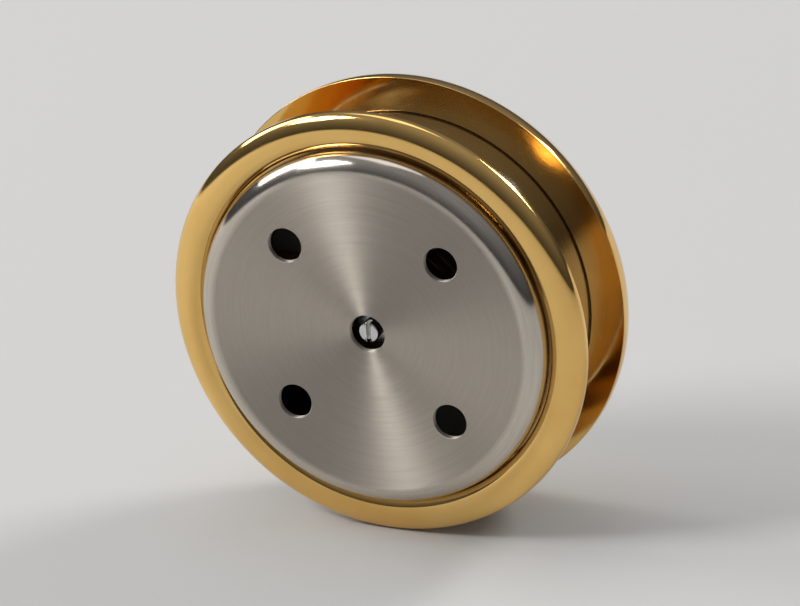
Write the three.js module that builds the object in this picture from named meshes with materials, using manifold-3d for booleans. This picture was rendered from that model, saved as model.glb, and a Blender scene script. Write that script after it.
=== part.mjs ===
// Dial hygrometer for a wooden panel such as the lid of a cigar box.
//
// Millimetres, +Z up. The instrument's axis is Y: the dial faces -Y, the back of the can faces +Y and
// 12 o'clock is +Z. The origin is on the axis, where the front bezel seats on the panel. The can goes
// through a round hole in the panel and the retaining ring is pushed over it from behind.
//
// Behind the dial, a spiral that winds up as it takes in moisture turns the pointer's arbor. Its outer
// end hangs on an arm of the adjuster post, whose slotted end shows in the middle of the can's back.

import * as THREE from "three";
import { mergeVertices } from "three/addons/utils/BufferGeometryUtils.js";
import Module from "manifold-3d";

const wasm = await Module();
wasm.setup();

// ---- Driving dimensions: the case -------------------------------------------------------------

const PANEL_GRIP = 9; // panel between the bezel's seat and the retaining ring
const CAN_D = 37.5;
const CAN_WALL = 0.6;
const CAN_PROUD = 3.4; // the can's back, beyond the panel's inner face
const SHOULDER_R = 1.8; // outside radius between the can's wall and its back
const FLANGE_W = 1.85; // the can's flange, beyond its wall
const RIM_W = 3.75; // bezel and retaining ring, beyond the can's wall
const PUSH_FIT = 0.15; // retaining ring and crimp, to the can's wall

const RING_RISE = 1.6; // retaining ring, above the panel
const RING_EDGE = 0.4; // upright foot of its rounded section
const RING_INNER_EDGE = 0.8;
const RING_CREST_IN = 2.4; // from the rim's edge in to the crest

const BEZEL_RISE = 3.4;
const BEZEL_EDGE = 0.4;
const BEZEL_CREST_IN = 2.6;
const BEZEL_CREST_R = 0.8; // how far the crest stays level towards the glass
const BEZEL_LIP_T = 0.4; // the lip's edge over the glass
const LIP_COVER = 0.95; // the lip's overhang inside the can's bore
const CRIMP_T = 0.35; // the bezel's back edge, turned in behind the can's flange
const BEZEL_FIT = 0.1; // flange in the bezel's groove
const EDGE_ROUND = 0.2;

const VENT_D = 3.6;
const VENT_PCD = 24;
const VENT_COUNT = 4;
const ADJUSTER_HOLE_D = 3.8;

// ---- Driving dimensions: glass, dial and what holds them --------------------------------------

const GLASS_T = 1;
const GLASS_SEAT = 1.15; // glass on the can's flange
const GLASS_FIT = 0.15;
const GASKET_T = 0.25;
const GASKET_INSET = 0.3;
const INSERT_FIT = 0.2; // spacer, dial and movement ring in the can
const SPACER_H = 2.4; // glass to dial
const SPACER_W = 1.75; // the spacer's foot on the dial
const SPACER_LAND = 0.65; // its narrow end, at the glass
const DIAL_T = 0.4;
const MOVEMENT_RING_W = 1.75;
const SHOULDER_FIT = 0.05;

// ---- Driving dimensions: bridge, adjuster and coil --------------------------------------------

const STRAP_T = 0.6;
const STRAP_W = 6;
const STRAP_BEND_R = 1;
const STRAP_FIT = 0.4; // the strap's corners in the movement ring
const STRAP_TO_BACK = 2.2; // room behind the strap
const FOOT_PAST_SCREW = 1.4;
const SCREW_X = 7.6;
const SCREW_R = 0.7;
const SCREW_FIT = 0.08;
const SCREW_HEAD_R = 1.3;
const SCREW_HEAD_H = 0.6;
const SCREW_TAIL = 0.2; // past the foot
const SCREW_SLOT_W = 0.35;
const SCREW_SLOT_H = 0.3;

const POST_R = 1.05; // adjuster post
const POST_HEAD_R = 1.7;
const POST_HEAD_H = 0.6;
const POST_SINK = 0.25; // slotted end, below the can's back
const POST_SLOT_W = 0.4;
const POST_SLOT_H = 0.8;
const RUNNING_FIT = 0.08;
const PRESS_FIT = 0.02;
const BUSH_WALL = 0.75;
const BUSH_FLANGE_R = 2.6;
const BUSH_FLANGE_H = 0.5;
const BUSH_TAIL = 0.3; // past the strap
const WASHER_R = 2.4;
const WASHER_T = 0.2;
const WASHER_H = 0.5;
const ARM_T = 0.4;
const ARM_HUB_R = 2.1;
const ARM_W = 1.8;
const CLIP_R = 2;
const CLIP_T = 0.3;
const CLIP_GROOVE = 0.15;
const CLIP_SLIT = 0.9;
const CLIP_GAP = 0.05;

const COIL_D = 19;
const COIL_STRIP_T = 0.3;
const COIL_STRIP_W = 2.3;
const COIL_TURNS = 6.5;
const COIL_SEAT = 0.3; // strip's ends, to the collet and to the stud
const STUD_W = 1.1;

// ---- Driving dimensions: arbor and pointer ----------------------------------------------------

const ARBOR_R = 0.4;
const ARBOR_IN_POST = 1.2;
const ARBOR_BUSH_R = 1.2;
const ARBOR_BUSH_FLANGE_R = 2.1;
const ARBOR_BUSH_FLANGE_H = 0.4;
const ARBOR_BUSH_TAIL = 0.35;
const ARBOR_BUSH_NOSE = 0.25; // in front of the dial
const DIAL_HOLE_FIT = 0.05;
const COLLET_R = 1.1;
const COLLET_PAST_COIL = 0.1;
const END_SHAKE = 0.3; // collet to post, hub to bush
const HUB_R = 1.1;
const HUB_H = 0.65;
const POINTER_T = 0.2;
const POINTER_GAP = 3; // the tip, from the spacer's foot
const POINTER_TIP_W = 0.25;
const POINTER_ROOT_W = 1.3;
const POINTER_EYE_R = 1.5;
const TAIL_REACH = 4.6;
const TAIL_R = 1.15;
const TAIL_W = 0.7;
const CAP_R = 1.6;
const CAP_H = 0.6;
const CAP_SOCKET = 0.25;

const SCALE_SWEEP_DEG = 270; // 0 to 100 % over the dial
const REST_READING = 70; // the humidity that the pointer shows at rest, in %

const ROUND_STEPS = 48;
const SMALL_STEPS = 24;
const ARC_STEPS = 6;
const DRILL_SPARE = 1; // how far a cutting tool runs past the metal

// ---- Radii that follow ------------------------------------------------------------------------

const CAN_R = CAN_D / 2;
const CAN_BORE_R = CAN_R - CAN_WALL;
const RIM_R = CAN_R + RIM_W;
const FLANGE_R = CAN_R + FLANGE_W;
const PUSH_BORE_R = CAN_R + PUSH_FIT;
const GLASS_R = CAN_BORE_R + GLASS_SEAT;
const LIP_R = CAN_BORE_R - LIP_COVER;
const INSERT_R = CAN_BORE_R - INSERT_FIT;
const DIAL_VIEW_R = INSERT_R - SPACER_W;
const MOVEMENT_BORE_R = INSERT_R - MOVEMENT_RING_W;
const STRAP_REACH = Math.sqrt((MOVEMENT_BORE_R - STRAP_FIT) ** 2 - (STRAP_W / 2) ** 2);
const COIL_R = COIL_D / 2;
const STUD_R = COIL_R + COIL_SEAT; // the stud's near face
const BUSH_BORE_R = POST_R + RUNNING_FIT;
const BUSH_R = BUSH_BORE_R + BUSH_WALL;

// ---- Places along the axis, from front to back ------------------------------------------------

const FLANGE_BACK_Y = -CRIMP_T;
const FLANGE_FRONT_Y = FLANGE_BACK_Y - CAN_WALL;
const GLASS_FRONT_Y = FLANGE_FRONT_Y - GLASS_T;
const LIP_BACK_Y = GLASS_FRONT_Y - GASKET_T;
const DIAL_FRONT_Y = FLANGE_FRONT_Y + SPACER_H;
const DIAL_BACK_Y = DIAL_FRONT_Y + DIAL_T;
const FOOT_BACK_Y = DIAL_BACK_Y + STRAP_T;
const CAN_BACK_Y = PANEL_GRIP + CAN_PROUD;
const CAN_FLOOR_Y = CAN_BACK_Y - CAN_WALL;
const STRAP_BACK_Y = CAN_FLOOR_Y - STRAP_TO_BACK;
const STRAP_FRONT_Y = STRAP_BACK_Y - STRAP_T;
const BUSH_FRONT_Y = STRAP_FRONT_Y - BUSH_FLANGE_H;
const BUSH_BACK_Y = STRAP_BACK_Y + BUSH_TAIL;
const ARM_BACK_Y = BUSH_FRONT_Y - WASHER_H;
const ARM_FRONT_Y = ARM_BACK_Y - ARM_T;
const POST_FRONT_Y = ARM_FRONT_Y - POST_HEAD_H;
const POST_BACK_Y = CAN_BACK_Y - POST_SINK;
const COLLET_BACK_Y = POST_FRONT_Y - END_SHAKE;
const COIL_BACK_Y = COLLET_BACK_Y - COLLET_PAST_COIL;
const COIL_FRONT_Y = COIL_BACK_Y - COIL_STRIP_W;
const COLLET_FRONT_Y = COIL_FRONT_Y - COLLET_PAST_COIL;
const BUSH_NOSE_Y = DIAL_FRONT_Y - ARBOR_BUSH_NOSE;
const HUB_BACK_Y = BUSH_NOSE_Y - END_SHAKE;
const HUB_FRONT_Y = HUB_BACK_Y - HUB_H;
const POINTER_FRONT_Y = HUB_FRONT_Y - POINTER_T;

// ---- Making solids ----------------------------------------------------------------------------

// The points of an outline from its corners [x, y, radius]; a corner without a radius stays sharp.
function outline(corners) {
  return corners.flatMap(([x, y, radius = 0], i) => {
    if (radius === 0) return [new THREE.Vector2(x, y)];
    const after = corners[(i + 1) % corners.length];
    return roundedCorner(corners.at(i - 1), corners[i], after);
  });
}

// The arc that touches both sides of a corner.
function roundedCorner(before, [x, y, radius], after) {
  const corner = new THREE.Vector2(x, y);
  const toBefore = new THREE.Vector2(before[0], before[1]).sub(corner).normalize();
  const toAfter = new THREE.Vector2(after[0], after[1]).sub(corner).normalize();
  const half = Math.acos(toBefore.dot(toAfter)) / 2;
  const centre = toBefore.clone().add(toAfter).setLength(radius / Math.sin(half)).add(corner);
  const start = toBefore.clone().multiplyScalar(radius / Math.tan(half)).add(corner).sub(centre);
  const end = toAfter.clone().multiplyScalar(radius / Math.tan(half)).add(corner).sub(centre);
  return arc(centre.x, centre.y, radius, radius, start.angle(), end.angle(), start.cross(end) < 0);
}

function arc(x, y, radiusX, radiusY, start, end, clockwise = false) {
  return new THREE.EllipseCurve(x, y, radiusX, radiusY, start, end, clockwise).getPoints(ARC_STEPS);
}

// Turns an outline of (radius, place along the axis) about the Y axis. An outline that starts on the
// axis ends there too; any other closes on itself.
function turned(points, steps = SMALL_STEPS) {
  const path = points[0].x === 0 ? [...points] : [...points, points[0]];
  if (THREE.ShapeUtils.area(points) < 0) path.reverse();
  return new THREE.LatheGeometry(path, steps);
}

// A round bar or tube along the axis; without a bore it is solid.
function round(radius, front, back, bore = 0, steps = SMALL_STEPS) {
  const corners = [[bore, front], [radius, front], [radius, back], [bore, back]];
  return turned(outline(corners), steps);
}

// A plate square to the axis, cut to an outline of (x, z), with its front face at the given place.
function plate(points, front, thickness) {
  const flat = new THREE.ExtrudeGeometry(new THREE.Shape(points), { depth: thickness, bevelEnabled: false });
  return flat.rotateX(Math.PI / 2).translate(0, front + thickness, 0);
}

function toSolid(geometry) {
  const bare = geometry.clone();
  bare.deleteAttribute("normal");
  bare.deleteAttribute("uv");
  const merged = mergeVertices(bare);
  const mesh = new wasm.Mesh({
    numProp: 3,
    vertProperties: merged.attributes.position.array,
    triVerts: new Uint32Array(merged.index.array),
  });
  return new wasm.Manifold(mesh);
}

function toGeometry(solid) {
  const mesh = solid.getMesh();
  const geometry = new THREE.BufferGeometry();
  geometry.setAttribute("position", new THREE.BufferAttribute(mesh.vertProperties, mesh.numProp));
  geometry.setIndex(new THREE.BufferAttribute(mesh.triVerts, 1));
  geometry.computeVertexNormals();
  return geometry;
}

function cut(geometry, ...tools) {
  return toGeometry(tools.reduce((solid, tool) => solid.subtract(toSolid(tool)), toSolid(geometry)));
}

function join(geometry, ...others) {
  return toGeometry(others.reduce((solid, other) => solid.add(toSolid(other)), toSolid(geometry)));
}

// A drill of a given radius along the axis, at (x, z), that runs past both ends.
function drill(radius, x, z, front, back) {
  const tool = round(radius, front - DRILL_SPARE, back + DRILL_SPARE);
  return tool.translate(x, 0, z);
}

// A saw cut across the axis at x, from its floor to beyond its mouth.
function slot(width, x, floor, mouth) {
  const deep = mouth - floor + Math.sign(mouth - floor) * DRILL_SPARE;
  const long = 2 * (Math.max(POST_HEAD_R, SCREW_HEAD_R) + DRILL_SPARE);
  return new THREE.BoxGeometry(width, Math.abs(deep), long).translate(x, floor + deep / 2, 0);
}

const LOOKS = {
  gold: { color: 0xc8973f, roughness: 0.2, metalness: 1 },
  silver: { color: 0xb9b4ad, roughness: 0.32, metalness: 1 },
  brass: { color: 0xb08d4a, roughness: 0.35, metalness: 1 },
  steel: { color: 0xa9abad, roughness: 0.3, metalness: 1 },
  bronze: { color: 0x8f6b45, roughness: 0.5, metalness: 0.8 },
  glass: { color: 0xe8f0f0, roughness: 0.05, metalness: 0, transparent: true, opacity: 0.3 },
  rubber: { color: 0x151515, roughness: 0.8, metalness: 0 },
  dial: { color: 0xf2ede0, roughness: 0.6, metalness: 0 },
  black: { color: 0x101010, roughness: 0.4, metalness: 0 },
  moulding: { color: 0x202020, roughness: 0.6, metalness: 0 },
};

function piece(name, geometry, look) {
  const mesh = new THREE.Mesh(geometry, new THREE.MeshStandardMaterial(LOOKS[look]));
  mesh.name = name;
  return mesh;
}

// ---- The case ---------------------------------------------------------------------------------

// A drawn cup, open to the front, with a flange at its mouth and a pierced back.
function rearCan() {
  const section = outline([
    [ADJUSTER_HOLE_D / 2, CAN_BACK_Y],
    [CAN_R, CAN_BACK_Y, SHOULDER_R],
    [CAN_R, FLANGE_BACK_Y],
    [FLANGE_R, FLANGE_BACK_Y],
    [FLANGE_R, FLANGE_FRONT_Y],
    [CAN_BORE_R, FLANGE_FRONT_Y],
    [CAN_BORE_R, CAN_FLOOR_Y, SHOULDER_R - CAN_WALL],
    [ADJUSTER_HOLE_D / 2, CAN_FLOOR_Y],
  ]);
  const vents = [...Array(VENT_COUNT).keys()].map((i) => {
    const angle = ((i + 0.5) / VENT_COUNT) * 2 * Math.PI;
    const [x, z] = [Math.cos(angle), Math.sin(angle)].map((share) => (share * VENT_PCD) / 2);
    return drill(VENT_D / 2, x, z, CAN_FLOOR_Y, CAN_BACK_Y);
  });
  return piece("rear_can", cut(turned(section, ROUND_STEPS), ...vents), "silver");
}

// The ring behind the panel: a flat seat, and a low rounded back with its crest nearer the can.
function retainingRing() {
  const crest = RIM_R - RING_CREST_IN;
  const inner = crest - PUSH_BORE_R;
  const outerFoot = PANEL_GRIP + RING_EDGE;
  const innerFoot = PANEL_GRIP + RING_INNER_EDGE;
  const section = [
    ...outline([[PUSH_BORE_R, PANEL_GRIP], [RIM_R, PANEL_GRIP]]),
    ...arc(crest, outerFoot, RING_CREST_IN, RING_RISE - RING_EDGE, 0, Math.PI / 2),
    ...arc(crest, innerFoot, inner, RING_RISE - RING_INNER_EDGE, Math.PI / 2, Math.PI).slice(1),
  ];
  return piece("retaining_ring", turned(section, ROUND_STEPS), "gold");
}

// The ring in front of the panel. Its back edge is crimped over the can's flange, which holds the
// glass and all behind it; its lip reaches in over the edge of the glass.
function frontBezel() {
  const crest = RIM_R - BEZEL_CREST_IN;
  const grooveR = FLANGE_R + BEZEL_FIT;
  const rebateR = GLASS_R + GLASS_FIT;
  const innerSlope = new THREE.QuadraticBezierCurve(
    new THREE.Vector2(crest, -BEZEL_RISE),
    new THREE.Vector2(crest - BEZEL_CREST_R, -BEZEL_RISE),
    new THREE.Vector2(LIP_R, LIP_BACK_Y - BEZEL_LIP_T),
  );
  const section = [
    ...outline([[PUSH_BORE_R, 0], [RIM_R, 0]]),
    ...arc(crest, -BEZEL_EDGE, BEZEL_CREST_IN, BEZEL_RISE - BEZEL_EDGE, 0, -Math.PI / 2, true),
    ...innerSlope.getPoints(ARC_STEPS).slice(1),
    ...outline([
      [LIP_R, LIP_BACK_Y],
      [rebateR, LIP_BACK_Y],
      [rebateR, FLANGE_FRONT_Y],
      [grooveR, FLANGE_FRONT_Y],
      [grooveR, FLANGE_BACK_Y],
      [PUSH_BORE_R, FLANGE_BACK_Y],
    ]),
  ];
  return piece("front_bezel", turned(section, ROUND_STEPS), "gold");
}

function lensGlass() {
  return piece("lens_glass", round(GLASS_R, GLASS_FRONT_Y, FLANGE_FRONT_Y, 0, ROUND_STEPS), "glass");
}

function lensGasket() {
  const bore = LIP_R + GASKET_INSET;
  return piece("lens_gasket", round(GLASS_R, LIP_BACK_Y, GLASS_FRONT_Y, bore, ROUND_STEPS), "rubber");
}

// Sloped ring that holds the dial off the glass.
function dialSpacerRing() {
  const section = outline([
    [INSERT_R - SPACER_LAND, FLANGE_FRONT_Y],
    [INSERT_R, FLANGE_FRONT_Y],
    [INSERT_R, DIAL_FRONT_Y],
    [DIAL_VIEW_R, DIAL_FRONT_Y],
    [DIAL_VIEW_R, DIAL_FRONT_Y - EDGE_ROUND],
  ]);
  return piece("dial_spacer_ring", turned(section, ROUND_STEPS), "silver");
}

function dialPlate() {
  const disc = round(INSERT_R, DIAL_FRONT_Y, DIAL_BACK_Y, ARBOR_BUSH_R + DIAL_HOLE_FIT, ROUND_STEPS);
  const holes = [-SCREW_X, SCREW_X].map((x) =>
    drill(SCREW_R + SCREW_FIT, x, 0, DIAL_FRONT_Y, DIAL_BACK_Y));
  return piece("dial_plate", cut(disc, ...holes), "dial");
}

// Moulded ring between the dial and the can's back; its back corner follows the can's shoulder.
function movementRing() {
  const innerShoulder = SHOULDER_R - CAN_WALL + SHOULDER_FIT;
  const section = outline([
    [MOVEMENT_BORE_R, DIAL_BACK_Y],
    [INSERT_R, DIAL_BACK_Y],
    [INSERT_R, CAN_FLOOR_Y - innerShoulder],
    [CAN_BORE_R - innerShoulder, CAN_FLOOR_Y],
    [MOVEMENT_BORE_R, CAN_FLOOR_Y],
  ]);
  return piece("movement_ring", turned(section, ROUND_STEPS), "moulding");
}

// ---- The bridge behind the dial ---------------------------------------------------------------

// One strap, bent twice at each side, with its feet turned in under the dial.
function movementBridge() {
  const footEnd = SCREW_X - FOOT_PAST_SCREW;
  const inner = STRAP_REACH - STRAP_T;
  const innerBend = STRAP_BEND_R - STRAP_T;
  const right = [
    [footEnd, FOOT_BACK_Y],
    [footEnd, DIAL_BACK_Y],
    [STRAP_REACH, DIAL_BACK_Y, STRAP_BEND_R],
    [STRAP_REACH, STRAP_BACK_Y, STRAP_BEND_R],
  ];
  const inside = [
    [-inner, FOOT_BACK_Y, innerBend],
    [-inner, STRAP_FRONT_Y, innerBend],
    [inner, STRAP_FRONT_Y, innerBend],
    [inner, FOOT_BACK_Y, innerBend],
  ];
  const left = right.map(([x, y, radius]) => [-x, y, radius]).reverse();
  const shape = new THREE.Shape(outline([...right, ...left, ...inside]));
  const strap = new THREE.ExtrudeGeometry(shape, { depth: STRAP_W, bevelEnabled: false });
  strap.translate(0, 0, -STRAP_W / 2);
  const holes = [
    drill(BUSH_R + PRESS_FIT, 0, 0, STRAP_FRONT_Y, STRAP_BACK_Y),
    drill(SCREW_R + SCREW_FIT, -SCREW_X, 0, DIAL_BACK_Y, FOOT_BACK_Y),
    drill(SCREW_R + SCREW_FIT, SCREW_X, 0, DIAL_BACK_Y, FOOT_BACK_Y),
  ];
  return piece("movement_bridge", cut(strap, ...holes), "brass");
}

function bridgeScrew(name, x) {
  const headFront = DIAL_FRONT_Y - SCREW_HEAD_H;
  const tail = FOOT_BACK_Y + SCREW_TAIL;
  const section = outline([
    [0, headFront],
    [SCREW_HEAD_R, headFront, EDGE_ROUND],
    [SCREW_HEAD_R, DIAL_FRONT_Y],
    [SCREW_R, DIAL_FRONT_Y],
    [SCREW_R, tail],
    [0, tail],
  ]);
  const blank = turned(section).translate(x, 0, 0);
  const driverSlot = slot(SCREW_SLOT_W, x, headFront + SCREW_SLOT_H, headFront);
  return piece(name, cut(blank, driverSlot), "steel");
}

function arborBush() {
  const flangeBack = DIAL_BACK_Y + ARBOR_BUSH_FLANGE_H;
  const section = outline([
    [ARBOR_R + RUNNING_FIT, BUSH_NOSE_Y],
    [ARBOR_BUSH_R, BUSH_NOSE_Y],
    [ARBOR_BUSH_R, DIAL_BACK_Y],
    [ARBOR_BUSH_FLANGE_R, DIAL_BACK_Y],
    [ARBOR_BUSH_FLANGE_R, flangeBack],
    [ARBOR_BUSH_R, flangeBack],
    [ARBOR_BUSH_R, flangeBack + ARBOR_BUSH_TAIL],
    [ARBOR_R + RUNNING_FIT, flangeBack + ARBOR_BUSH_TAIL],
  ]);
  return piece("arbor_bush", turned(section), "brass");
}

function adjusterBush() {
  const section = outline([
    [BUSH_BORE_R, BUSH_FRONT_Y],
    [BUSH_FLANGE_R, BUSH_FRONT_Y],
    [BUSH_FLANGE_R, STRAP_FRONT_Y],
    [BUSH_R, STRAP_FRONT_Y],
    [BUSH_R, BUSH_BACK_Y],
    [BUSH_BORE_R, BUSH_BACK_Y],
  ]);
  return piece("adjuster_bush", turned(section), "brass");
}

// ---- The adjuster: post, arm and coil ---------------------------------------------------------

// Post with a head in front, a blind hole for the arbor's pivot, a clip groove and a slotted end.
function adjusterPost() {
  const boreR = ARBOR_R + RUNNING_FIT;
  const boreFloor = POST_FRONT_Y + ARBOR_IN_POST + END_SHAKE;
  const clipFront = BUSH_BACK_Y + CLIP_GAP;
  const clipBack = clipFront + CLIP_T;
  const section = outline([
    [0, boreFloor],
    [boreR, boreFloor],
    [boreR, POST_FRONT_Y],
    [POST_HEAD_R, POST_FRONT_Y],
    [POST_HEAD_R, ARM_FRONT_Y],
    [POST_R, ARM_FRONT_Y],
    [POST_R, clipFront],
    [POST_R - CLIP_GROOVE, clipFront],
    [POST_R - CLIP_GROOVE, clipBack],
    [POST_R, clipBack],
    [POST_R, POST_BACK_Y, EDGE_ROUND],
    [0, POST_BACK_Y],
  ]);
  const driverSlot = slot(POST_SLOT_W, 0, POST_BACK_Y - POST_SLOT_H, POST_BACK_Y);
  return piece("adjuster_post", cut(turned(section), driverSlot), "steel");
}

// Split ring that snaps into the post's groove behind the bush.
function postClip() {
  const front = BUSH_BACK_Y + CLIP_GAP;
  const bore = POST_R - CLIP_GROOVE + PRESS_FIT;
  const ring = round(CLIP_R, front, front + CLIP_T, bore);
  const slit = new THREE.BoxGeometry(CLIP_SLIT, CLIP_T + DRILL_SPARE, CLIP_R + DRILL_SPARE);
  slit.translate(0, front + CLIP_T / 2, (CLIP_R + DRILL_SPARE) / 2);
  return piece("post_clip", cut(ring, slit), "steel");
}

// Dished spring washer that gives the post its friction.
function frictionWasher() {
  const bore = POST_R + RUNNING_FIT;
  const section = outline([
    [bore, ARM_BACK_Y],
    [bore, ARM_BACK_Y + WASHER_T],
    [WASHER_R, BUSH_FRONT_Y],
    [WASHER_R, BUSH_FRONT_Y - WASHER_T],
  ]);
  return piece("friction_washer", turned(section), "steel");
}

// Flat arm pinned to the post, pointing down.
function carrierArm() {
  const hub = round(ARM_HUB_R, ARM_FRONT_Y, ARM_BACK_Y);
  const long = STUD_R + STUD_W;
  const bar = new THREE.BoxGeometry(ARM_W, ARM_T, long).translate(0, ARM_FRONT_Y + ARM_T / 2, -long / 2);
  const bore = drill(POST_R + PRESS_FIT, 0, 0, ARM_FRONT_Y, ARM_BACK_Y);
  return piece("carrier_arm", cut(join(hub, bar), bore), "brass");
}

// Square stud under the arm's end, beside the coil's outer end.
function coilStud() {
  const high = ARM_FRONT_Y - COIL_FRONT_Y;
  const stud = new THREE.BoxGeometry(STUD_W, high, STUD_W);
  stud.translate(0, COIL_FRONT_Y + high / 2, -(STUD_R + STUD_W / 2));
  return piece("coil_stud", stud, "brass");
}

// Spiral strip: its inner end lies beside the collet, its outer end at the stud, straight down.
function hygroCoil() {
  const stepsPerTurn = 28;
  const steps = COIL_TURNS * stepsPerTurn;
  const innerR = COLLET_R + COIL_SEAT;
  const growth = COIL_R - COIL_STRIP_T - innerR;
  const pointAt = (i, offset) => {
    const angle = -Math.PI / 2 - ((steps - i) / stepsPerTurn) * 2 * Math.PI;
    const radius = innerR + (growth * i) / steps + offset;
    return new THREE.Vector2(radius * Math.cos(angle), radius * Math.sin(angle));
  };
  const along = [...Array(steps + 1).keys()];
  const inside = along.map((i) => pointAt(i, 0));
  const outside = along.map((i) => pointAt(i, COIL_STRIP_T)).reverse();
  const strip = plate([...inside, ...outside], COIL_FRONT_Y, COIL_STRIP_W);
  return piece("hygro_coil", strip, "bronze");
}

// ---- The pointer and its arbor ----------------------------------------------------------------

function coilCollet() {
  return piece("coil_collet", round(COLLET_R, COLLET_FRONT_Y, COLLET_BACK_Y, ARBOR_R + PRESS_FIT), "brass");
}

function arbor() {
  const front = POINTER_FRONT_Y - CAP_SOCKET + PRESS_FIT;
  return piece("arbor", round(ARBOR_R, front, POST_FRONT_Y + ARBOR_IN_POST), "steel");
}

function pointerHub() {
  return piece("pointer_hub", round(HUB_R, HUB_FRONT_Y, HUB_BACK_Y, ARBOR_R + PRESS_FIT), "brass");
}

// Where the pointer stands at rest, as a turn about +Y from 12 o'clock. Seen from the front a rising
// reading turns it clockwise, which is a positive turn about +Y.
function restAngle() {
  return THREE.MathUtils.degToRad((REST_READING / 100 - 0.5) * SCALE_SWEEP_DEG);
}

// Tapered needle with an eye on the hub and a round counterweight on its tail.
function pointer() {
  const long = DIAL_VIEW_R - POINTER_GAP;
  const blade = outline([
    [-POINTER_ROOT_W / 2, 0],
    [POINTER_ROOT_W / 2, 0],
    [POINTER_TIP_W / 2, long],
    [-POINTER_TIP_W / 2, long],
  ]);
  const neck = outline([
    [-TAIL_W / 2, -TAIL_REACH],
    [TAIL_W / 2, -TAIL_REACH],
    [TAIL_W / 2, 0],
    [-TAIL_W / 2, 0],
  ]);
  const back = POINTER_FRONT_Y + POINTER_T;
  const disc = (radius, z) => round(radius, POINTER_FRONT_Y, back).translate(0, 0, z);
  const flat = join(
    plate(blade, POINTER_FRONT_Y, POINTER_T),
    plate(neck, POINTER_FRONT_Y, POINTER_T),
    disc(POINTER_EYE_R, 0),
    disc(TAIL_R, -TAIL_REACH),
  );
  const needle = cut(flat, drill(ARBOR_R + PRESS_FIT, 0, 0, POINTER_FRONT_Y, back));
  return piece("pointer", needle.rotateY(restAngle()), "black");
}

// Domed cap, closed in front, on the arbor's end.
function pointerCap() {
  const socketR = ARBOR_R + PRESS_FIT;
  const socketFloor = POINTER_FRONT_Y - CAP_SOCKET;
  const section = outline([
    [0, POINTER_FRONT_Y - CAP_H],
    [CAP_R, POINTER_FRONT_Y - CAP_H, CAP_H / 2],
    [CAP_R, POINTER_FRONT_Y],
    [socketR, POINTER_FRONT_Y],
    [socketR, socketFloor],
    [0, socketFloor],
  ]);
  return piece("pointer_cap", turned(section), "brass");
}

// ---- The assembly -----------------------------------------------------------------------------

const hygrometer = new THREE.Group();
hygrometer.add(frontBezel(), lensGlass(), lensGasket(), dialSpacerRing(), dialPlate(), movementRing());
hygrometer.add(rearCan(), retainingRing());
hygrometer.add(movementBridge(), arborBush(), adjusterBush());
hygrometer.add(bridgeScrew("bridge_screw_left", -SCREW_X), bridgeScrew("bridge_screw_right", SCREW_X));
hygrometer.add(adjusterPost(), postClip(), frictionWasher(), carrierArm(), coilStud(), hygroCoil());
hygrometer.add(arbor(), coilCollet(), pointerHub(), pointer(), pointerCap());

export default hygrometer;
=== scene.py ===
# %% [markdown]
# # A dial hygrometer, piece by piece
#
# This small instrument tells how moist the air in a cigar box is. Its dial shows on the outside
# of the lid and its round can reaches through the wood to the inside, where a gold ring holds it.
# Nearly every piece is turned, drawn or stamped from metal, so nearly every piece here starts as
# a section that is spun about the instrument's axis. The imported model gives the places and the
# outer sizes.

import math

import bmesh
import bpy
from mathutils import Matrix, Quaternion, Vector


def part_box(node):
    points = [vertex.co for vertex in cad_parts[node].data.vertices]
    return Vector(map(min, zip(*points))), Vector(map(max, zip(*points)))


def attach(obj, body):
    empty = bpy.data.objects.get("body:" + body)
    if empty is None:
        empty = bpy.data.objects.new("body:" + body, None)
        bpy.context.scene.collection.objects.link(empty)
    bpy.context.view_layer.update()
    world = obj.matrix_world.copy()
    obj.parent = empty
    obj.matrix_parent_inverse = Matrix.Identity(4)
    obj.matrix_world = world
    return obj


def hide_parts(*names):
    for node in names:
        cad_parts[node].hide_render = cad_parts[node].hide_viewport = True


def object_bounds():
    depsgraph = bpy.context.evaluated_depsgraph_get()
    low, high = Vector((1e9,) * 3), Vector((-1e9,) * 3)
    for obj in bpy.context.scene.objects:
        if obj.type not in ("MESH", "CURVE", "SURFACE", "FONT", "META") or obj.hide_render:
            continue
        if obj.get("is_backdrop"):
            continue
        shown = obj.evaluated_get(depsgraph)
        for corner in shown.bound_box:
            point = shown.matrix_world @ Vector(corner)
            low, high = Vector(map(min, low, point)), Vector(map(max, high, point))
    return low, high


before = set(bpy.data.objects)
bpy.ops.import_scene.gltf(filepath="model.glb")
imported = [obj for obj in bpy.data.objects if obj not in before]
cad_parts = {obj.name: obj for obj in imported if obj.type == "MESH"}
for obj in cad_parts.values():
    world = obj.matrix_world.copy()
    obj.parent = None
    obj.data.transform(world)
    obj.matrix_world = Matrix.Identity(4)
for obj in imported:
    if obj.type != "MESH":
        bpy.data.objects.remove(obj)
cad_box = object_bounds()

# %% [markdown]
# ## Measures
#
# A watchmaker works in millimetres and Blender in metres. The pieces are drawn in millimetres,
# because Blender's operators weld and round badly on shapes of a few hundredths of a unit, and
# each is brought to metres when it is done. The axis is Y: the dial looks along -Y and
# 12 o'clock is +Z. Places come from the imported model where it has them. The few sizes below are
# shared by several pieces.

# %% Outer sizes from the model
MM = 0.001


def depth(part):
    """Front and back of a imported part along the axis, in millimetres."""
    return [limit.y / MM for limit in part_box(part)]


def span(part):
    """Outer radius, front and back of a part that is round about the axis, in millimetres."""
    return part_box(part)[1].x / MM, *depth(part)


def middle(part):
    """The place of a part's middle across the axis, (x, z) in millimetres."""
    low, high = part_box(part)
    return (low.x + high.x) / 2 / MM, (low.z + high.z) / 2 / MM


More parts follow.
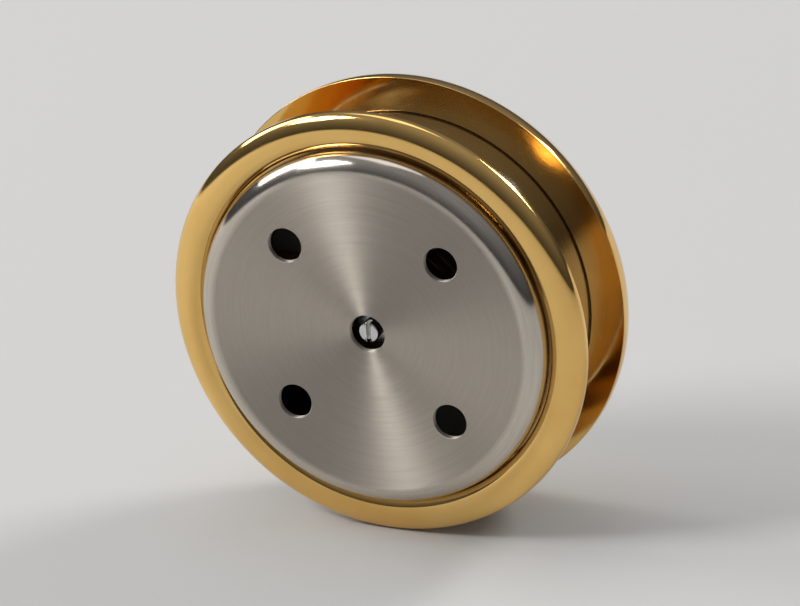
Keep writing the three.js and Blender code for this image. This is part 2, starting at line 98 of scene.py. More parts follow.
rim_r, ring_seat, ring_back = span("retaining_ring")
flange_r, flange_front, can_back = span("rear_can")
bezel_front = depth("front_bezel")[0]
dial_r, dial_front, dial_back = span("dial_plate")
SHEET = 0.6  # the can's and the bridge's sheet metal
CAN_R = 18.75  # outside of the can's wall
PUSH_R = 18.9  # bore of both gold rings
VIEW_R = 16.2  # the part of the dial that shows inside the spacer
flange_back = flange_front + SHEET
print("rim", rim_r, "can", CAN_R, "from", bezel_front, "to", can_back)

# %% [markdown]
# ## Finishes from nodes
#
# A finish is a small network of nodes. In the editor each node is placed and linked by hand; in a
# script that takes a line for every setting. These helpers keep a finish readable: one adds a node
# with its inputs in order, and the others name what comes back often, such as a mix of two
# colours, a change of range and a cloudy noise.

# %% Node helpers


def fill(tree, socket, value):
    """Gives a socket a value, or links another node's output to it."""
    if isinstance(value, bpy.types.NodeSocket):
        tree.links.new(value, socket)
    elif value is not None:
        flat = hasattr(value, "__len__") and len(value) == 3 and socket.type == "RGBA"
        socket.default_value = (*value, 1.0) if flat else value


def node(tree, kind, *inputs, **settings):
    """Adds a node, with its settings and its inputs in order, and returns its first output."""
    made = tree.nodes.new("ShaderNode" + kind)
    for name, value in settings.items():
        setattr(made, name, value)
    for socket, value in zip(made.inputs, inputs):
        fill(tree, socket, value)
    return made.outputs[0]


def mixed(tree, share, first, second):
    """Two colours, mixed by a share."""
    made = tree.nodes.new("ShaderNodeMix")
    made.data_type = "RGBA"
    for place, value in ((0, share), (6, first), (7, second)):
        fill(tree, made.inputs[place], value)
    return made.outputs[2]


def ranged(tree, value, low, high, to_low, to_high):
    """A value from low to high, carried to another range and held there."""
    return node(tree, "MapRange", value, low, high, to_low, to_high)


def noise(tree, vector, scale, detail=2.0, roughness=0.5):
    """Cloudy noise from 0 to 1; its grain is one over the scale."""
    return node(tree, "TexNoise", vector, None, scale, detail, roughness)


def finish_of(name, colour, roughness, metallic=0.0, **sockets):
    """Starts a finish: a material with one shader. Returns the material, tree and shader."""
    material = bpy.data.materials.new(name)
    material.use_nodes = True
    tree = material.node_tree
    shader = tree.nodes["Principled BSDF"]
    plain = {"Base Color": colour, "Roughness": roughness, "Metallic": metallic}
    for socket, value in {**plain, **sockets}.items():
        fill(tree, shader.inputs[socket], value)
    return material, tree, shader


def varied(tree, shader, colour, roughness):
    """Links the colour and the roughness that vary over the surface."""
    fill(tree, shader.inputs["Base Color"], colour)
    fill(tree, shader.inputs["Roughness"], roughness)


def bumped(tree, shader, height, strength, distance):
    """Lets a height show as relief."""
    fill(tree, shader.inputs["Normal"], node(tree, "Bump", strength, distance, None, height))


print("node helpers ready")

# %% [markdown]
# ## The stage
#
# For its portrait the instrument stands on a pale table under softboxes. A polished metal shows
# mostly what is around it, so the room is a plain grey that is lighter overhead: a room that is
# white all round would leave nickel and gold without any shading. The table is one large square
# with the faintest grain, so that it has no edge in any view.

# %% Floor and room
FLOOR_HALF = 6.0  # metres
TABLE_COLOUR = (0.64, 0.635, 0.62)
ROOM_LOW, ROOM_HIGH = (0.05, 0.05, 0.055), (0.34, 0.34, 0.35)

table_finish, table_tree, table_shader = finish_of("pale_table", TABLE_COLOUR, 0.6)
table_place = node(table_tree, "TexCoord").node.outputs["Object"]
bumped(table_tree, table_shader, noise(table_tree, table_place, 900.0), 0.08, 0.0001)

ground = bmesh.new()
bmesh.ops.create_grid(ground, x_segments=1, y_segments=1, size=FLOOR_HALF)
bmesh.ops.translate(ground, verts=ground.verts[:], vec=(0, 0, -rim_r * MM))
ground_data = bpy.data.meshes.new("table")
ground.to_mesh(ground_data)
ground.free()
table = bpy.data.objects.new("table", ground_data)
bpy.context.scene.collection.objects.link(table)
table.data.materials.append(table_finish)
table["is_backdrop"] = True

world = bpy.data.worlds.new("studio")
bpy.context.scene.world = world
world.use_nodes = True
sky = world.node_tree
direction = node(sky, "TexCoord").node.outputs["Generated"]
height = node(sky, "SeparateXYZ", direction).node.outputs["Z"]
dome = mixed(sky, ranged(sky, height, 0.0, 0.9, 0.0, 1.0), ROOM_LOW, ROOM_HIGH)
fill(sky, sky.nodes["Background"].inputs["Color"], dome)
print("table at", round(-rim_r * MM, 4), "m")

# %% [markdown]
# ## Camera
#
# The instrument is seen from inside the lid, from above and from its left: so the can's brushed
# back and the gold ring face the camera and the dial is hidden. A long lens at arm's length keeps
# circles true ellipses. The camera is placed by its angles and tipped a few degrees about its own
# line of sight, because angles are easier to read and to change than a matrix.

# %% Place the camera
AZIMUTH, ELEVATION, ROLL = (math.radians(angle) for angle in (205.9, 23.4, -3.6))
DISTANCE = 0.92
LENS = 414.0

to_camera = Vector(
    (
        math.sin(AZIMUTH) * math.cos(ELEVATION),
        -math.cos(AZIMUTH) * math.cos(ELEVATION),
        math.sin(ELEVATION),
    )
)
centre = (cad_box[0] + cad_box[1]) / 2
camera = bpy.data.objects.new("camera", bpy.data.cameras.new("camera"))
bpy.context.scene.collection.objects.link(camera)
camera.data.lens = LENS
camera.data.sensor_width = 36.0
camera.data.clip_start = 0.05
camera.location = centre + to_camera * DISTANCE
camera.rotation_mode = "QUATERNION"
level = to_camera.to_track_quat("Z", "Y")
camera.rotation_quaternion = level @ Quaternion((0, 0, 1), ROLL)
bpy.context.scene.camera = camera
bpy.context.scene.view_settings.view_transform = "Standard"
print("camera at", [round(c, 3) for c in camera.location])

# %% [markdown]
# ## Softboxes
#
# Brushed metal shows a bow tie: each ring of fine scratches spreads the light across itself, so
# two opposite sectors shine towards a lamp. The main softbox stands where the middle direction
# between it and the camera leans to a little before twelve, and there the bright sectors lie. A
# broad panel on the left draws the long highlight on the can's shoulder, a third lamp lights the
# dial's side, and a wide one hangs overhead. Square area lamps have soft edges and fall off as
# real softboxes do, which a sun lamp would not.

# %% Hang the softboxes


def softbox(name, towards, distance, side, radiance):
    """A square lamp that faces the instrument. Radiance is its brightness; white paper is 1."""
    light = bpy.data.lights.new(name, "AREA")
    light.shape = "SQUARE"
    light.size = side
    light.energy = radiance * math.pi * side * side
    lamp = bpy.data.objects.new(name, light)
    bpy.context.scene.collection.objects.link(lamp)
    direction = Vector(towards).normalized()
    lamp.location = centre + direction * distance
    lamp.rotation_mode = "QUATERNION"
    lamp.rotation_quaternion = direction.to_track_quat("Z", "Y")


softbox("key", (0.62, 0.45, 0.64), 1.5, 0.45, 16.5)
softbox("dial_key", (-0.45, -0.72, 0.55), 1.6, 0.5, 13.0)
softbox("overhead", (0.2, -0.2, 0.95), 1.7, 0.9, 1.3)
softbox("left_panel", (0.85, 0.0, 0.52), 1.6, 0.75, 4.6)
print("lamps", len(bpy.data.lights))

# %% [markdown]
# ## From a section to a turned shape
#
# A lathe makes a round piece from its section, and so does bmesh's spin. The section is a few
# corners. The round corners are bevelled while it is still a wire, which rounds the whole turned
# edge at once and costs fewer faces than a bevel afterwards. A corner marked FULL is rounded from
# one neighbour to the other, which draws a quarter of an ellipse.

# %% Draw and spin
WELD = 0.0005  # points nearer than this become one
FULL = "full"
FULL_SEGMENTS = 20
ROUND_SEGMENT = 0.09  # rounding that one more segment is worth
ROUND_STEPS = 160  # around the large pieces
RING_STEPS = 192  # around the two gold rings
SMALL_STEPS = 72  # around the small pieces and the holes


def wire(mesh, places, closed=True):
    """Joins a row of points by edges, and returns both."""
    points = [mesh.verts.new(place) for place in places]
    ends = points[1:] + points[: 1 if closed else 0]
    return points, [mesh.edges.new(pair) for pair in zip(points, ends)]


def draw(mesh, corners, closed=True):
    """Draws a section from its corners (radius, place along the axis, rounding)."""
    points, _ = wire(mesh, [(corner[0], corner[1], 0) for corner in corners], closed)
    for point, corner in zip(points, corners):
        rounding = corner[2] if len(corner) > 2 else 0
        if rounding:
            whole = rounding == FULL
            bmesh.ops.bevel(
                mesh,
                geom=[point],
                offset=100 if whole else rounding,
                offset_type="PERCENT" if whole else "OFFSET",
                segments=FULL_SEGMENTS if whole else max(3, round(rounding / ROUND_SEGMENT)),
                profile=0.5,
                affect="VERTICES",
                clamp_overlap=False,
                material=-1,
            )
    bmesh.ops.remove_doubles(mesh, verts=mesh.verts[:], dist=WELD)


def turned(corners, steps=ROUND_STEPS, closed=None):
    """A section spun about the axis. One that starts on the axis ends there and stays open."""
    mesh = bmesh.new()
    draw(mesh, corners, corners[0][0] > 0 if closed is None else closed)
    bmesh.ops.spin(
        mesh,
        geom=mesh.verts[:] + mesh.edges[:],
        cent=(0, 0, 0),
        axis=(0, 1, 0),
        angle=2 * math.pi,
        steps=steps,
        use_merge=True,
    )
    bmesh.ops.remove_doubles(mesh, verts=mesh.verts[:], dist=WELD)
    bmesh.ops.recalc_face_normals(mesh, faces=mesh.faces[:])
    return mesh


print("lathe ready")

# %% [markdown]
# ## From a shape to a finished piece
#
# Sheet metal gets its thickness and a stamped piece its broken edges from modifiers, because they
# treat every edge alike. Both are applied at once: a brushed finish reads its direction from the
# finished mesh. Weighted normals keep flat faces flat beside small round edges. Last, the piece
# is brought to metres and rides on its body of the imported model.

# %% Finish a piece
SHARP = math.radians(34)
BROKEN_EDGE = math.radians(50)  # edges sharper than this are rounded


def applied(thing):
    """Puts the result of an object's modifiers into its mesh and clears them."""
    evaluated = thing.evaluated_get(bpy.context.evaluated_depsgraph_get())
    thing.data = bpy.data.meshes.new_from_object(evaluated)
    thing.modifiers.clear()


def piece(name, mesh, body, slot, finish, *stands_for, wall=0, edge=0):
    """Finishes a bmesh in millimetres, with a wall's thickness and rounded edges if asked."""
    data = bpy.data.meshes.new(name)
    mesh.to_mesh(data)
    mesh.free()
    made = bpy.data.objects.new(name, data)
    bpy.context.scene.collection.objects.link(made)
    if wall:
        shell = made.modifiers.new("wall", "SOLIDIFY")
        shell.thickness, shell.offset, shell.use_even_offset = wall, -1, True
    if edge:
        bevel = made.modifiers.new("edge", "BEVEL")
        bevel.width, bevel.segments, bevel.limit_method = edge, 3, "ANGLE"
        bevel.angle_limit, bevel.use_clamp_overlap = BROKEN_EDGE, True
    applied(made)
    made.data.shade_smooth()
    made.data.set_sharp_from_angle(angle=SHARP)
    even = made.modifiers.new("even_shading", "WEIGHTED_NORMAL")
    even.keep_sharp = True
    applied(made)
    made.data.name = name
    made.data.transform(Matrix.Scale(MM, 4))
    made.data.materials.clear()
    made.data.materials.append(finish)
    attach(made, body)
    if stands_for:
        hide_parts(*stands_for)
    print(name, len(made.data.polygons), "faces", [round(s / MM, 2) for s in made.dimensions])


print("bench ready")

# %% [markdown]
# ## Fields for turned metal
#
# A tool that turns on the instrument's axis leaves its marks in rings. The noise for such marks
# has to be fine across the rings and long round them, without a seam: the direction from the axis
# goes in as it is, and the radius goes in many times larger. The place along the axis is added to
# the radius, so the marks run round the walls as well. Clouds stand for handling and tarnish, and
# a stretched noise that shows only its peaks for stray scratches.

# %% Rings, clouds and scratches


def place_of(tree, at=(0, 0)):
    """The place on a piece in metres, measured from an axis at (x, z) millimetres."""
    place = node(tree, "TexCoord").node.outputs["Object"]
    shift = (at[0] * MM, 0, at[1] * MM)
    return node(tree, "VectorMath", place, shift, operation="SUBTRACT")


def scaled(tree, vector, factors):
    """A vector with each part multiplied by its own factor."""
    return node(tree, "VectorMath", vector, factors, operation="MULTIPLY")


def summed(tree, first, second):
    """The sum of two values."""
    return node(tree, "Math", first, second, operation="ADD")


def times(tree, value, factor):
    """A value multiplied by a factor."""
    return node(tree, "Math", value, factor, operation="MULTIPLY")


def radius_of(tree, place):
    """How far a place is from the axis, and the direction to it."""
    across = scaled(tree, place, (1, 0, 1))
    radius = node(tree, "VectorMath", across, operation="LENGTH").node.outputs["Value"]
    return radius, node(tree, "VectorMath", across, operation="NORMALIZE")


def ring_marks(tree, pitch, arcs, at=(0, 0)):
    """Marks that run round the axis, pitch metres apart; more arcs make each mark shorter."""
    place = place_of(tree, at)
    radius, direction = radius_of(tree, place)
    along = node(tree, "SeparateXYZ", place).node.outputs["Y"]
    track = node(tree, "CombineXYZ", 0.0, times(tree, summed(tree, radius, along), 1 / pitch))
    turn = scaled(tree, direction, (arcs, arcs, arcs))
    both = node(tree, "VectorMath", turn, track, operation="ADD")
    return noise(tree, both, 1.0, 3.0, 0.6)


def clouds(tree, grain, detail=3.0):
    """Soft clouds of the given grain in metres, for handling marks and tarnish."""
    return noise(tree, place_of(tree), 1 / grain, detail)


def scratches(tree, turn, spacing=0.0012, length=0.02):
    """Stray hairlines, all in one direction: 1 on a scratch and 0 elsewhere."""
    tilted = node(tree, "Mapping", place_of(tree), None, turn)
    stretched = scaled(tree, tilted, (1 / spacing, 1 / spacing, 1 / length))
    return ranged(tree, noise(tree, stretched, 1.0, 4.0, 0.7), 0.66, 0.72, 0.0, 1.0)


def ring_grain(tree, shader, strength):
    """Spreads the light across marks that run round the axis: a radial tangent, turned by 90."""
    shader.inputs["Anisotropic"].default_value = strength
    shader.inputs["Anisotropic Rotation"].default_value = 0.25
    rings = node(tree, "Tangent", direction_type="RADIAL", axis="Y")
    fill(tree, shader.inputs["Tangent"], rings)


print("fields ready")

# %% [markdown]
# ## Nickel: the can's finish
#
# The can is drawn from brass sheet and plated with nickel, which is a warm grey. Its back is
# brushed on a turntable while the shoulder and the wall stay polished. The brushing is too fine to
# model, so the shader's anisotropy spreads the light across the rings, and its marks vary colour
# and roughness a little. Roughness follows the radius: satin on the flat, bright on the shoulder.

# %% Brushed nickel
FLAT_R = 16.95  # where the flat back ends and the shoulder starts
LIGHT_NICKEL, DARK_NICKEL = (0.58, 0.53, 0.465), (0.49, 0.44, 0.38)
TARNISHED_NICKEL = (0.5, 0.44, 0.365)
FINE_BRUSH, COARSE_BRUSH = 0.00007, 0.00035  # metres from mark to mark


def brushed_nickel():
    material, tree, shader = finish_of("brushed_nickel", LIGHT_NICKEL, 0.3, 1.0)
    ring_grain(tree, shader, 0.9)
    radius, _ = radius_of(tree, place_of(tree))
    polished = ranged(tree, radius, (FLAT_R - 0.25) * MM, (FLAT_R + 0.35) * MM, 0.0, 1.0)
    fine, coarse = ring_marks(tree, FINE_BRUSH, 3.0), ring_marks(tree, COARSE_BRUSH, 1.5)
    marks = summed(tree, fine, coarse)
    satin = ranged(tree, marks, 0.7, 1.3, 0.48, 0.6)
    bright = ranged(tree, clouds(tree, 0.006), 0.35, 0.75, 0.13, 0.2)
    wiped = times(tree, scratches(tree, (0.3, 0.5, 0.9)), 0.06)
    rough = summed(tree, node(tree, "Mix", polished, None, satin, bright), wiped)
    shade = mixed(tree, ranged(tree, marks, 0.75, 1.25, 0.0, 1.0), DARK_NICKEL, LIGHT_NICKEL)
    tarnish = ranged(tree, clouds(tree, 0.009), 0.5, 0.8, 0.0, 0.35)
    varied(tree, shader, mixed(tree, tarnish, shade, TARNISHED_NICKEL), rough)
    bumped(tree, shader, node(tree, "Mix", polished, None, marks, 1.0), 0.15, 0.000006)
    return material


nickel = brushed_nickel()
print(nickel.name)

# %% [markdown]
# ## The can
#
# One sheet of metal: a flat back with five punched holes, a round shoulder, a plain wall and a
# flange that the bezel grips. It could be cut from a solid with Booleans, but those leave long
# thin faces that shade badly. So the shoulder, wall and flange are spun as one skin, the flat is
# filled between its rim and the holes, and Solidify gives the whole its thickness at the end, as
# in a real drawn cup.

# %% The drawn can
VENT_R, VENT_PCD, POST_HOLE_R = 1.8, 24.0, 1.9
HOLE_LIP = 0.2
SHOULDER = 1.8
FLAT_INSET = 0.2  # how far inside the shoulder the filled flat ends


def newest(parts):
    """The new vertices among an operator's results, and the edges between them."""
    verts = [part for part in parts if isinstance(part, bmesh.types.BMVert)]
    edges = [part for part in parts if isinstance(part, bmesh.types.BMEdge)]
    return verts, [edge for edge in edges if set(edge.verts) <= set(verts)]


def circle(mesh, radius, x, place, z, steps=SMALL_STEPS):
    """Draws a circle square to the axis and returns its edges."""
    facing = Matrix.Translation((x, place, z)) @ Matrix.Rotation(math.pi / 2, 4, "X")
    made = bmesh.ops.create_circle(mesh, radius=radius, segments=steps, matrix=facing)
    return list(dict.fromkeys(edge for vert in made["verts"] for edge in vert.link_edges))


def pierced(mesh, rim, holes, place):
    """Fills the flat inside a rim round the holes (x, z, radius), each with a lip of squares."""
    lips = [circle(mesh, radius + HOLE_LIP, x, place, z) for x, z, radius in holes]
    rims = rim + [edge for lip in lips for edge in lip]
    bmesh.ops.triangle_fill(mesh, use_beauty=True, edges=rims, normal=(0, 1, 0))
    for (x, z, radius), lip in zip(holes, lips):
        inner, _ = newest(bmesh.ops.extrude_edge_only(mesh, edges=lip)["geom"])
        share = radius / (radius + HOLE_LIP)
        about = Matrix.Translation((-x, 0, -z))
        bmesh.ops.scale(mesh, vec=(share, 1, share), space=about, verts=inner)
    bmesh.ops.recalc_face_normals(mesh, faces=mesh.faces[:])


def open_edges(mesh, fits):
    """The open edges whose ends both fit."""
    return [e for e in mesh.edges if e.is_boundary and all(fits(v.co) for v in e.verts)]


def drawn_can():
    land = FLAT_R - FLAT_INSET
    skin = [(land, can_back), (CAN_R, can_back, SHOULDER), (CAN_R, flange_back, 0.1)]
    mesh = turned(skin + [(flange_r, flange_back)], closed=False)
    rim = open_edges(mesh, lambda at: at.y > can_back - WELD and at.xz.length < land + 0.01)
    reach = VENT_PCD / 2 / math.sqrt(2)
    vents = [(x * reach, z * reach, VENT_R) for x in (-1, 1) for z in (-1, 1)]
    pierced(mesh, rim, [(0, 0, POST_HOLE_R)] + vents, can_back)
    return mesh


can = drawn_can()
piece("drawn_can", can, "case", "silver_can", nickel, "rear_can", wall=SHEET, edge=0.09)

# %% [markdown]
# ## Gold: polished brass under lacquer
#
# The two rings are brass with a gold finish under clear lacquer. Polishing leaves no direction,
# so the metal has a low even roughness, and the lacquer is the shader's coat. What tells it from
# plastic is small: clouds from handling, the faintest turning marks in the bump, hairlines, and a
# browner tone where the lacquer has yellowed.

# %% Lacquered gold
GOLD, YELLOWED_GOLD = (0.83, 0.53, 0.17), (0.69, 0.39, 0.1)


def coat(weight, roughness):
    """Settings of a clear lacquer over a finish."""
    return {"Coat Weight": weight, "Coat Roughness": roughness}


def lacquered_gold():
    lacquer = {**coat(0.35, 0.04), "Coat IOR": 1.45}
    material, tree, shader = finish_of("lacquered_gold", GOLD, 0.14, 1.0, **lacquer)
    handled = ranged(tree, clouds(tree, 0.005, 4.0), 0.35, 0.75, 0.07, 0.15)
    hair = times(tree, scratches(tree, (0.9, 0.2, 0.4), 0.0009), 0.08)
    yellowed = ranged(tree, clouds(tree, 0.008), 0.4, 0.75, 0.0, 0.6)
    tone = mixed(tree, yellowed, GOLD, YELLOWED_GOLD)
    varied(tree, shader, tone, summed(tree, handled, hair))
    bumped(tree, shader, ring_marks(tree, 0.0003, 1.5), 0.04, 0.00001)
    return material


gold = lacquered_gold()
print(gold.name)

# %% [markdown]
# ## The retaining ring
#
# It is pushed over the can from inside the lid. Its seat is flat and its back is one low round,
# steeper on the inside, with the crest nearer the can. Two corners with full rounding draw that
# section as two quarters of ellipses, which meet level at the crest, so a highlight runs over it
# without a break. A torus would be the quick way, but its section is round and has no seat.

# %% The ring behind the lid
RING_CREST_R = 20.1
RIM_EDGE = 0.4  # straight outer edge of both gold rings
RING_BORE = 0.8  # straight part of the ring's bore
ring_section = [
    (PUSH_R, ring_seat, 0.08),
    (rim_r, ring_seat, 0.08),
    (rim_r, ring_seat + RIM_EDGE),
    (rim_r, ring_back, FULL),
    (RING_CREST_R, ring_back),
    (PUSH_R, ring_back, FULL),
    (PUSH_R, ring_seat + RING_BORE),
]
ring = turned(ring_section, RING_STEPS)
piece("gold_ring", ring, "ring", "gold_brass", gold, "retaining_ring")

# %% [markdown]
# ## The front bezel
#
# The bezel is the ring that shows on the lid. It is one turned or pressed ring with a rebate for
# the glass and a thin back edge that is rolled over the can's flange. It is spun from one section
# like the ring: the outside is a quarter of an ellipse and the inside falls in a soft curve to
# the glass.

# %% The bezel around the dial
BEZEL_CREST_R, BEZEL_CREST_W = 19.9, 0.8
BEZEL_LIP_R, BEZEL_LIP = 17.2, 0.4
GLASS_REBATE_R, GROOVE_R = 19.45, 20.7
gasket_r, gasket_front, gasket_back = span("lens_gasket")
bezel_section = [
    (PUSH_R, 0, 0.06),
    (rim_r, 0, 0.08),
    (rim_r, -RIM_EDGE),
    (rim_r, bezel_front, FULL),
    (BEZEL_CREST_R, bezel_front),
    (BEZEL_CREST_R - BEZEL_CREST_W, bezel_front, FULL),
    (BEZEL_LIP_R, gasket_front - BEZEL_LIP, 0.1),
    (BEZEL_LIP_R, gasket_front, 0.05),
    (GLASS_REBATE_R, gasket_front),
    (GLASS_REBATE_R, flange_front),
    (GROOVE_R, flange_front),
    (GROOVE_R, flange_back),
    (PUSH_R, flange_back, 0.06),
]
bezel = turned(bezel_section, RING_STEPS)
piece("gold_bezel", bezel, "case", "gold_brass", gold, "front_bezel")

# %% [markdown]
# ## The glass
#
# The window is a disc of flat glass with ground edges. Glass is easy to overdo: it is a clear
# solid with two faces and a little grease on it. Real light passes through it to the dial, but a
# path tracer finds that light badly, so for shadow rays the glass counts as open.

# %% The window
CLEAR_GLASS, OPEN_GLASS = (0.97, 0.985, 0.98), (0.94, 0.95, 0.95)


def window_glass():
    solid = {"Transmission Weight": 1.0, "IOR": 1.52}
    material, tree, shader = finish_of("window_glass", CLEAR_GLASS, 0.01, **solid)
    grease = ranged(tree, clouds(tree, 0.007, 4.0), 0.5, 0.85, 0.0, 0.05)
    fill(tree, shader.inputs["Roughness"], grease)
    open_air = node(tree, "BsdfTransparent", OPEN_GLASS)
    shadow = node(tree, "LightPath").node.outputs["Is Shadow Ray"]
    either = node(tree, "MixShader", shadow, shader.outputs["BSDF"], open_air)
    fill(tree, tree.nodes["Material Output"].inputs["Surface"], either)
    return material


glass_r, glass_front, glass_back = span("lens_glass")
glass_section = [
    (0, glass_front),
    (glass_r, glass_front, 0.2),
    (glass_r, glass_back, 0.12),
    (0, glass_back),
]
piece("window", turned(glass_section), "case", "lens", window_glass(), "lens_glass")

# %% [markdown]
# ## The gasket
#
# A thin ring of black rubber beds the glass in the bezel and keeps dust out. Old rubber is never
# one black: a pale bloom comes up in patches and dulls it. Two more finishes here work the same
# way, with patches that change colour and roughness together over a fine relief, so a helper
# makes them.

# %% The rubber under the glass


def mottled(name, colours, rough, patch, grain, relief, **sockets):
    """A finish in patches: settings of the clouds, of the fine noise and of its bump."""
    material, tree, shader = finish_of(name, colours[0], rough[0], **sockets)
    patches = clouds(tree, *patch)
    varied(tree, shader, mixed(tree, patches, *colours), ranged(tree, patches, 0.3, 0.7, *rough))
    bumped(tree, shader, noise(tree, place_of(tree), *grain), *relief)
    return material


black_rubber = mottled(
    "black_rubber",
    ((0.012, 0.012, 0.013), (0.035, 0.034, 0.033)),
    (0.55, 0.8),
    patch=(0.0015, 4.0),
    grain=(9000.0,),
    relief=(0.2, 0.00002),
)
GASKET_BORE = 17.5
gasket_section = [
    (GASKET_BORE, gasket_front, 0.1),
    (gasket_r, gasket_front, 0.05),
    (gasket_r, gasket_back, 0.05),
    (GASKET_BORE, gasket_back, 0.1),
]
gasket = turned(gasket_section)
piece("window_gasket", gasket, "case", "black_rubber", black_rubber, "lens_gasket")

# %% [markdown]
# ## The spacer
#
# Between the glass and the dial stands a sloped ring that the eye takes for the edge of the dial.
# It is satin silver, turned with a fine tool, so it has the same ring marks as the can with less
# contrast. The same few lines serve every plain turned metal in here: only colour, roughness and
# pitch differ.

# %% Plain turned metals
SPACER_TOP_W, SPACER_FOOT = 0.65, 0.2


def turned_metal(name, colour, dark, rough, pitch, at=(0, 0)):
    """A metal with turning marks about an axis at (x, z), a little tarnish and wear."""
    material, tree, shader = finish_of(name, colour, rough[0], 1.0)
    ring_grain(tree, shader, 0.5)
    marks = ring_marks(tree, pitch, 3.0, at)
    stain = ranged(tree, clouds(tree, 0.0025), 0.4, 0.8, 0.0, 0.8)
    varied(tree, shader, mixed(tree, stain, colour, dark), ranged(tree, marks, 0.3, 0.7, *rough))
    bumped(tree, shader, marks, 0.15, 0.00001)
    return material


satin = turned_metal(
    "satin_silver", (0.75, 0.74, 0.72), (0.62, 0.6, 0.57), (0.25, 0.4), 0.00012
)
spacer_r, spacer_front, spacer_back = span("dial_spacer_ring")
spacer_section = [
    (spacer_r - SPACER_TOP_W, spacer_front, 0.06),
    (spacer_r, spacer_front),
    (spacer_r, spacer_back),
    (VIEW_R, spacer_back),
    (VIEW_R, spacer_back - SPACER_FOOT, 0.06),
]
piece("spacer", turned(spacer_section), "case", "spacer_silver", satin, "dial_spacer_ring")

# %% [markdown]
# ## The dial
#
# A dial is a thin disc with a fired or sprayed enamel, printed in black. The white is never quite
# even: it has an orange-peel surface and warms with age towards the edge. The disc is a flat with
# three holes that Solidify thickens, as it is stamped from sheet.

# %% The enamelled disc
SCREW_HOLE_R, ARBOR_HOLE_R = 0.78, 1.25
ENAMEL, AGED_ENAMEL = (0.83, 0.81, 0.755), (0.74, 0.69, 0.58)


def enamel():
    material, tree, shader = finish_of("dial_enamel", ENAMEL, 0.35, **coat(0.25, 0.12))
    radius, _ = radius_of(tree, place_of(tree))
    aged = ranged(tree, radius, 0.008, 0.0165, 0.0, 0.6)
    uneven = times(tree, aged, clouds(tree, 0.004))
    rough = ranged(tree, clouds(tree, 0.002), 0.3, 0.7, 0.3, 0.42)
    varied(tree, shader, mixed(tree, uneven, ENAMEL, AGED_ENAMEL), rough)
    bumped(tree, shader, noise(tree, place_of(tree), 2200.0, 3.0), 0.12, 0.00002)
    return material


screw_spots = [middle("bridge_screw_left"), middle("bridge_screw_right")]
dial_holes = [(0, 0, ARBOR_HOLE_R)] + [(x, z, SCREW_HOLE_R) for x, z in screw_spots]


def dial_disc():
    mesh = bmesh.new()
    pierced(mesh, circle(mesh, dial_r, 0, dial_front, 0, ROUND_STEPS), dial_holes, dial_front)
    facing_back = [face for face in mesh.faces if face.normal.y > 0]
    bmesh.ops.reverse_faces(mesh, faces=facing_back)
    return mesh


piece(
    "dial_disc",
    dial_disc(),
    "case",
    "dial_enamel",
    enamel(),
    "dial_plate",
    wall=dial_back - dial_front,
    edge=0.04,
)

# %% [markdown]
# ## Printing the scale
#
# Relative humidity runs from 0 to 100 over three quarters of the dial, with a longer stroke at
# each ten, and a green arc marks 65 to 75 %, where cigars keep well. The print could be painted
# into the enamel's material. It is modelled as thin films of ink instead, so its edges stay sharp
# from near by. A stroke is a thin block, made at 12 o'clock and turned into place.

# %% Ink, strokes and arcs
SWEEP = 270.0
INK = 0.02
INK_BED = 0.01  # how deep the ink lies in the enamel
STROKE_END, SCALE_LINE = 15.4, 0.15
LONG_STROKE, SHORT_STROKE = (0.3, 13.55), (0.13, 14.35)  # width, inner radius
RANGE_INNER, RANGE_OUTER = 12.75, 13.3
ink_middle = dial_front + INK_BED - INK / 2


def ink(name, colour, rough):
    """Printing ink: nearly flat in colour, with a little bleed and tooth."""
    material, tree, shader = finish_of(name, colour, rough)
    thin = tuple(channel * 1.5 + 0.02 for channel in colour)
    tooth = ranged(tree, clouds(tree, 0.0004), 0.3, 0.7, rough, rough + 0.15)
    varied(tree, shader, mixed(tree, clouds(tree, 0.0008, 4.0), colour, thin), tooth)
    bumped(tree, shader, noise(tree, place_of(tree), 12000.0), 0.1, 0.00001)
    return material


black_ink = ink("black_ink", (0.02, 0.02, 0.022), 0.4)
green_ink = ink("green_ink", (0.08, 0.3, 0.12), 0.4)


def reading(percent):
    """The turn about the axis from 12 o'clock to a reading, clockwise on the dial."""
    return math.radians((percent / 100 - 0.5) * SWEEP)


def strokes():
    mesh = bmesh.new()
    for percent in range(0, 101, 2):
        width, inner = SHORT_STROKE if percent % 10 else LONG_STROKE
        turn = Matrix.Rotation(reading(percent), 4, "Y")
        lift = Matrix.Translation((0, ink_middle, (inner + STROKE_END) / 2))
        size = Matrix.Diagonal((width, INK, STROKE_END - inner, 1))
        bmesh.ops.create_cube(mesh, size=1, matrix=turn @ lift @ size)
    return mesh


def capped(mesh):
    """Closes the open ends of a swept strip and points its faces outwards."""
    bmesh.ops.holes_fill(mesh, edges=[edge for edge in mesh.edges if edge.is_boundary])
    bmesh.ops.recalc_face_normals(mesh, faces=mesh.faces[:])
    return mesh


def swept(corners, start, angle, steps):
    """A section spun through part of a turn, from an angle past 12 o'clock."""
    mesh = bmesh.new()
    draw(mesh, corners)
    aside = Matrix.Rotation(start - math.pi / 2, 3, "Y")
    bmesh.ops.rotate(mesh, verts=mesh.verts[:], matrix=aside)
    bmesh.ops.spin(
        mesh,
        geom=mesh.verts[:] + mesh.edges[:],
        cent=(0, 0, 0),
        axis=(0, 1, 0),
        angle=angle,
        steps=steps,
    )
    return capped(mesh)


def arc_band(inner, outer, start, end, steps):
    """A flat band of ink between two radii, from one reading to another."""
    front, back = ink_middle - INK / 2, ink_middle + INK / 2
    section = [(inner, front), (outer, front), (outer, back), (inner, back)]
    return swept(section, reading(start), reading(end) - reading(start), steps)


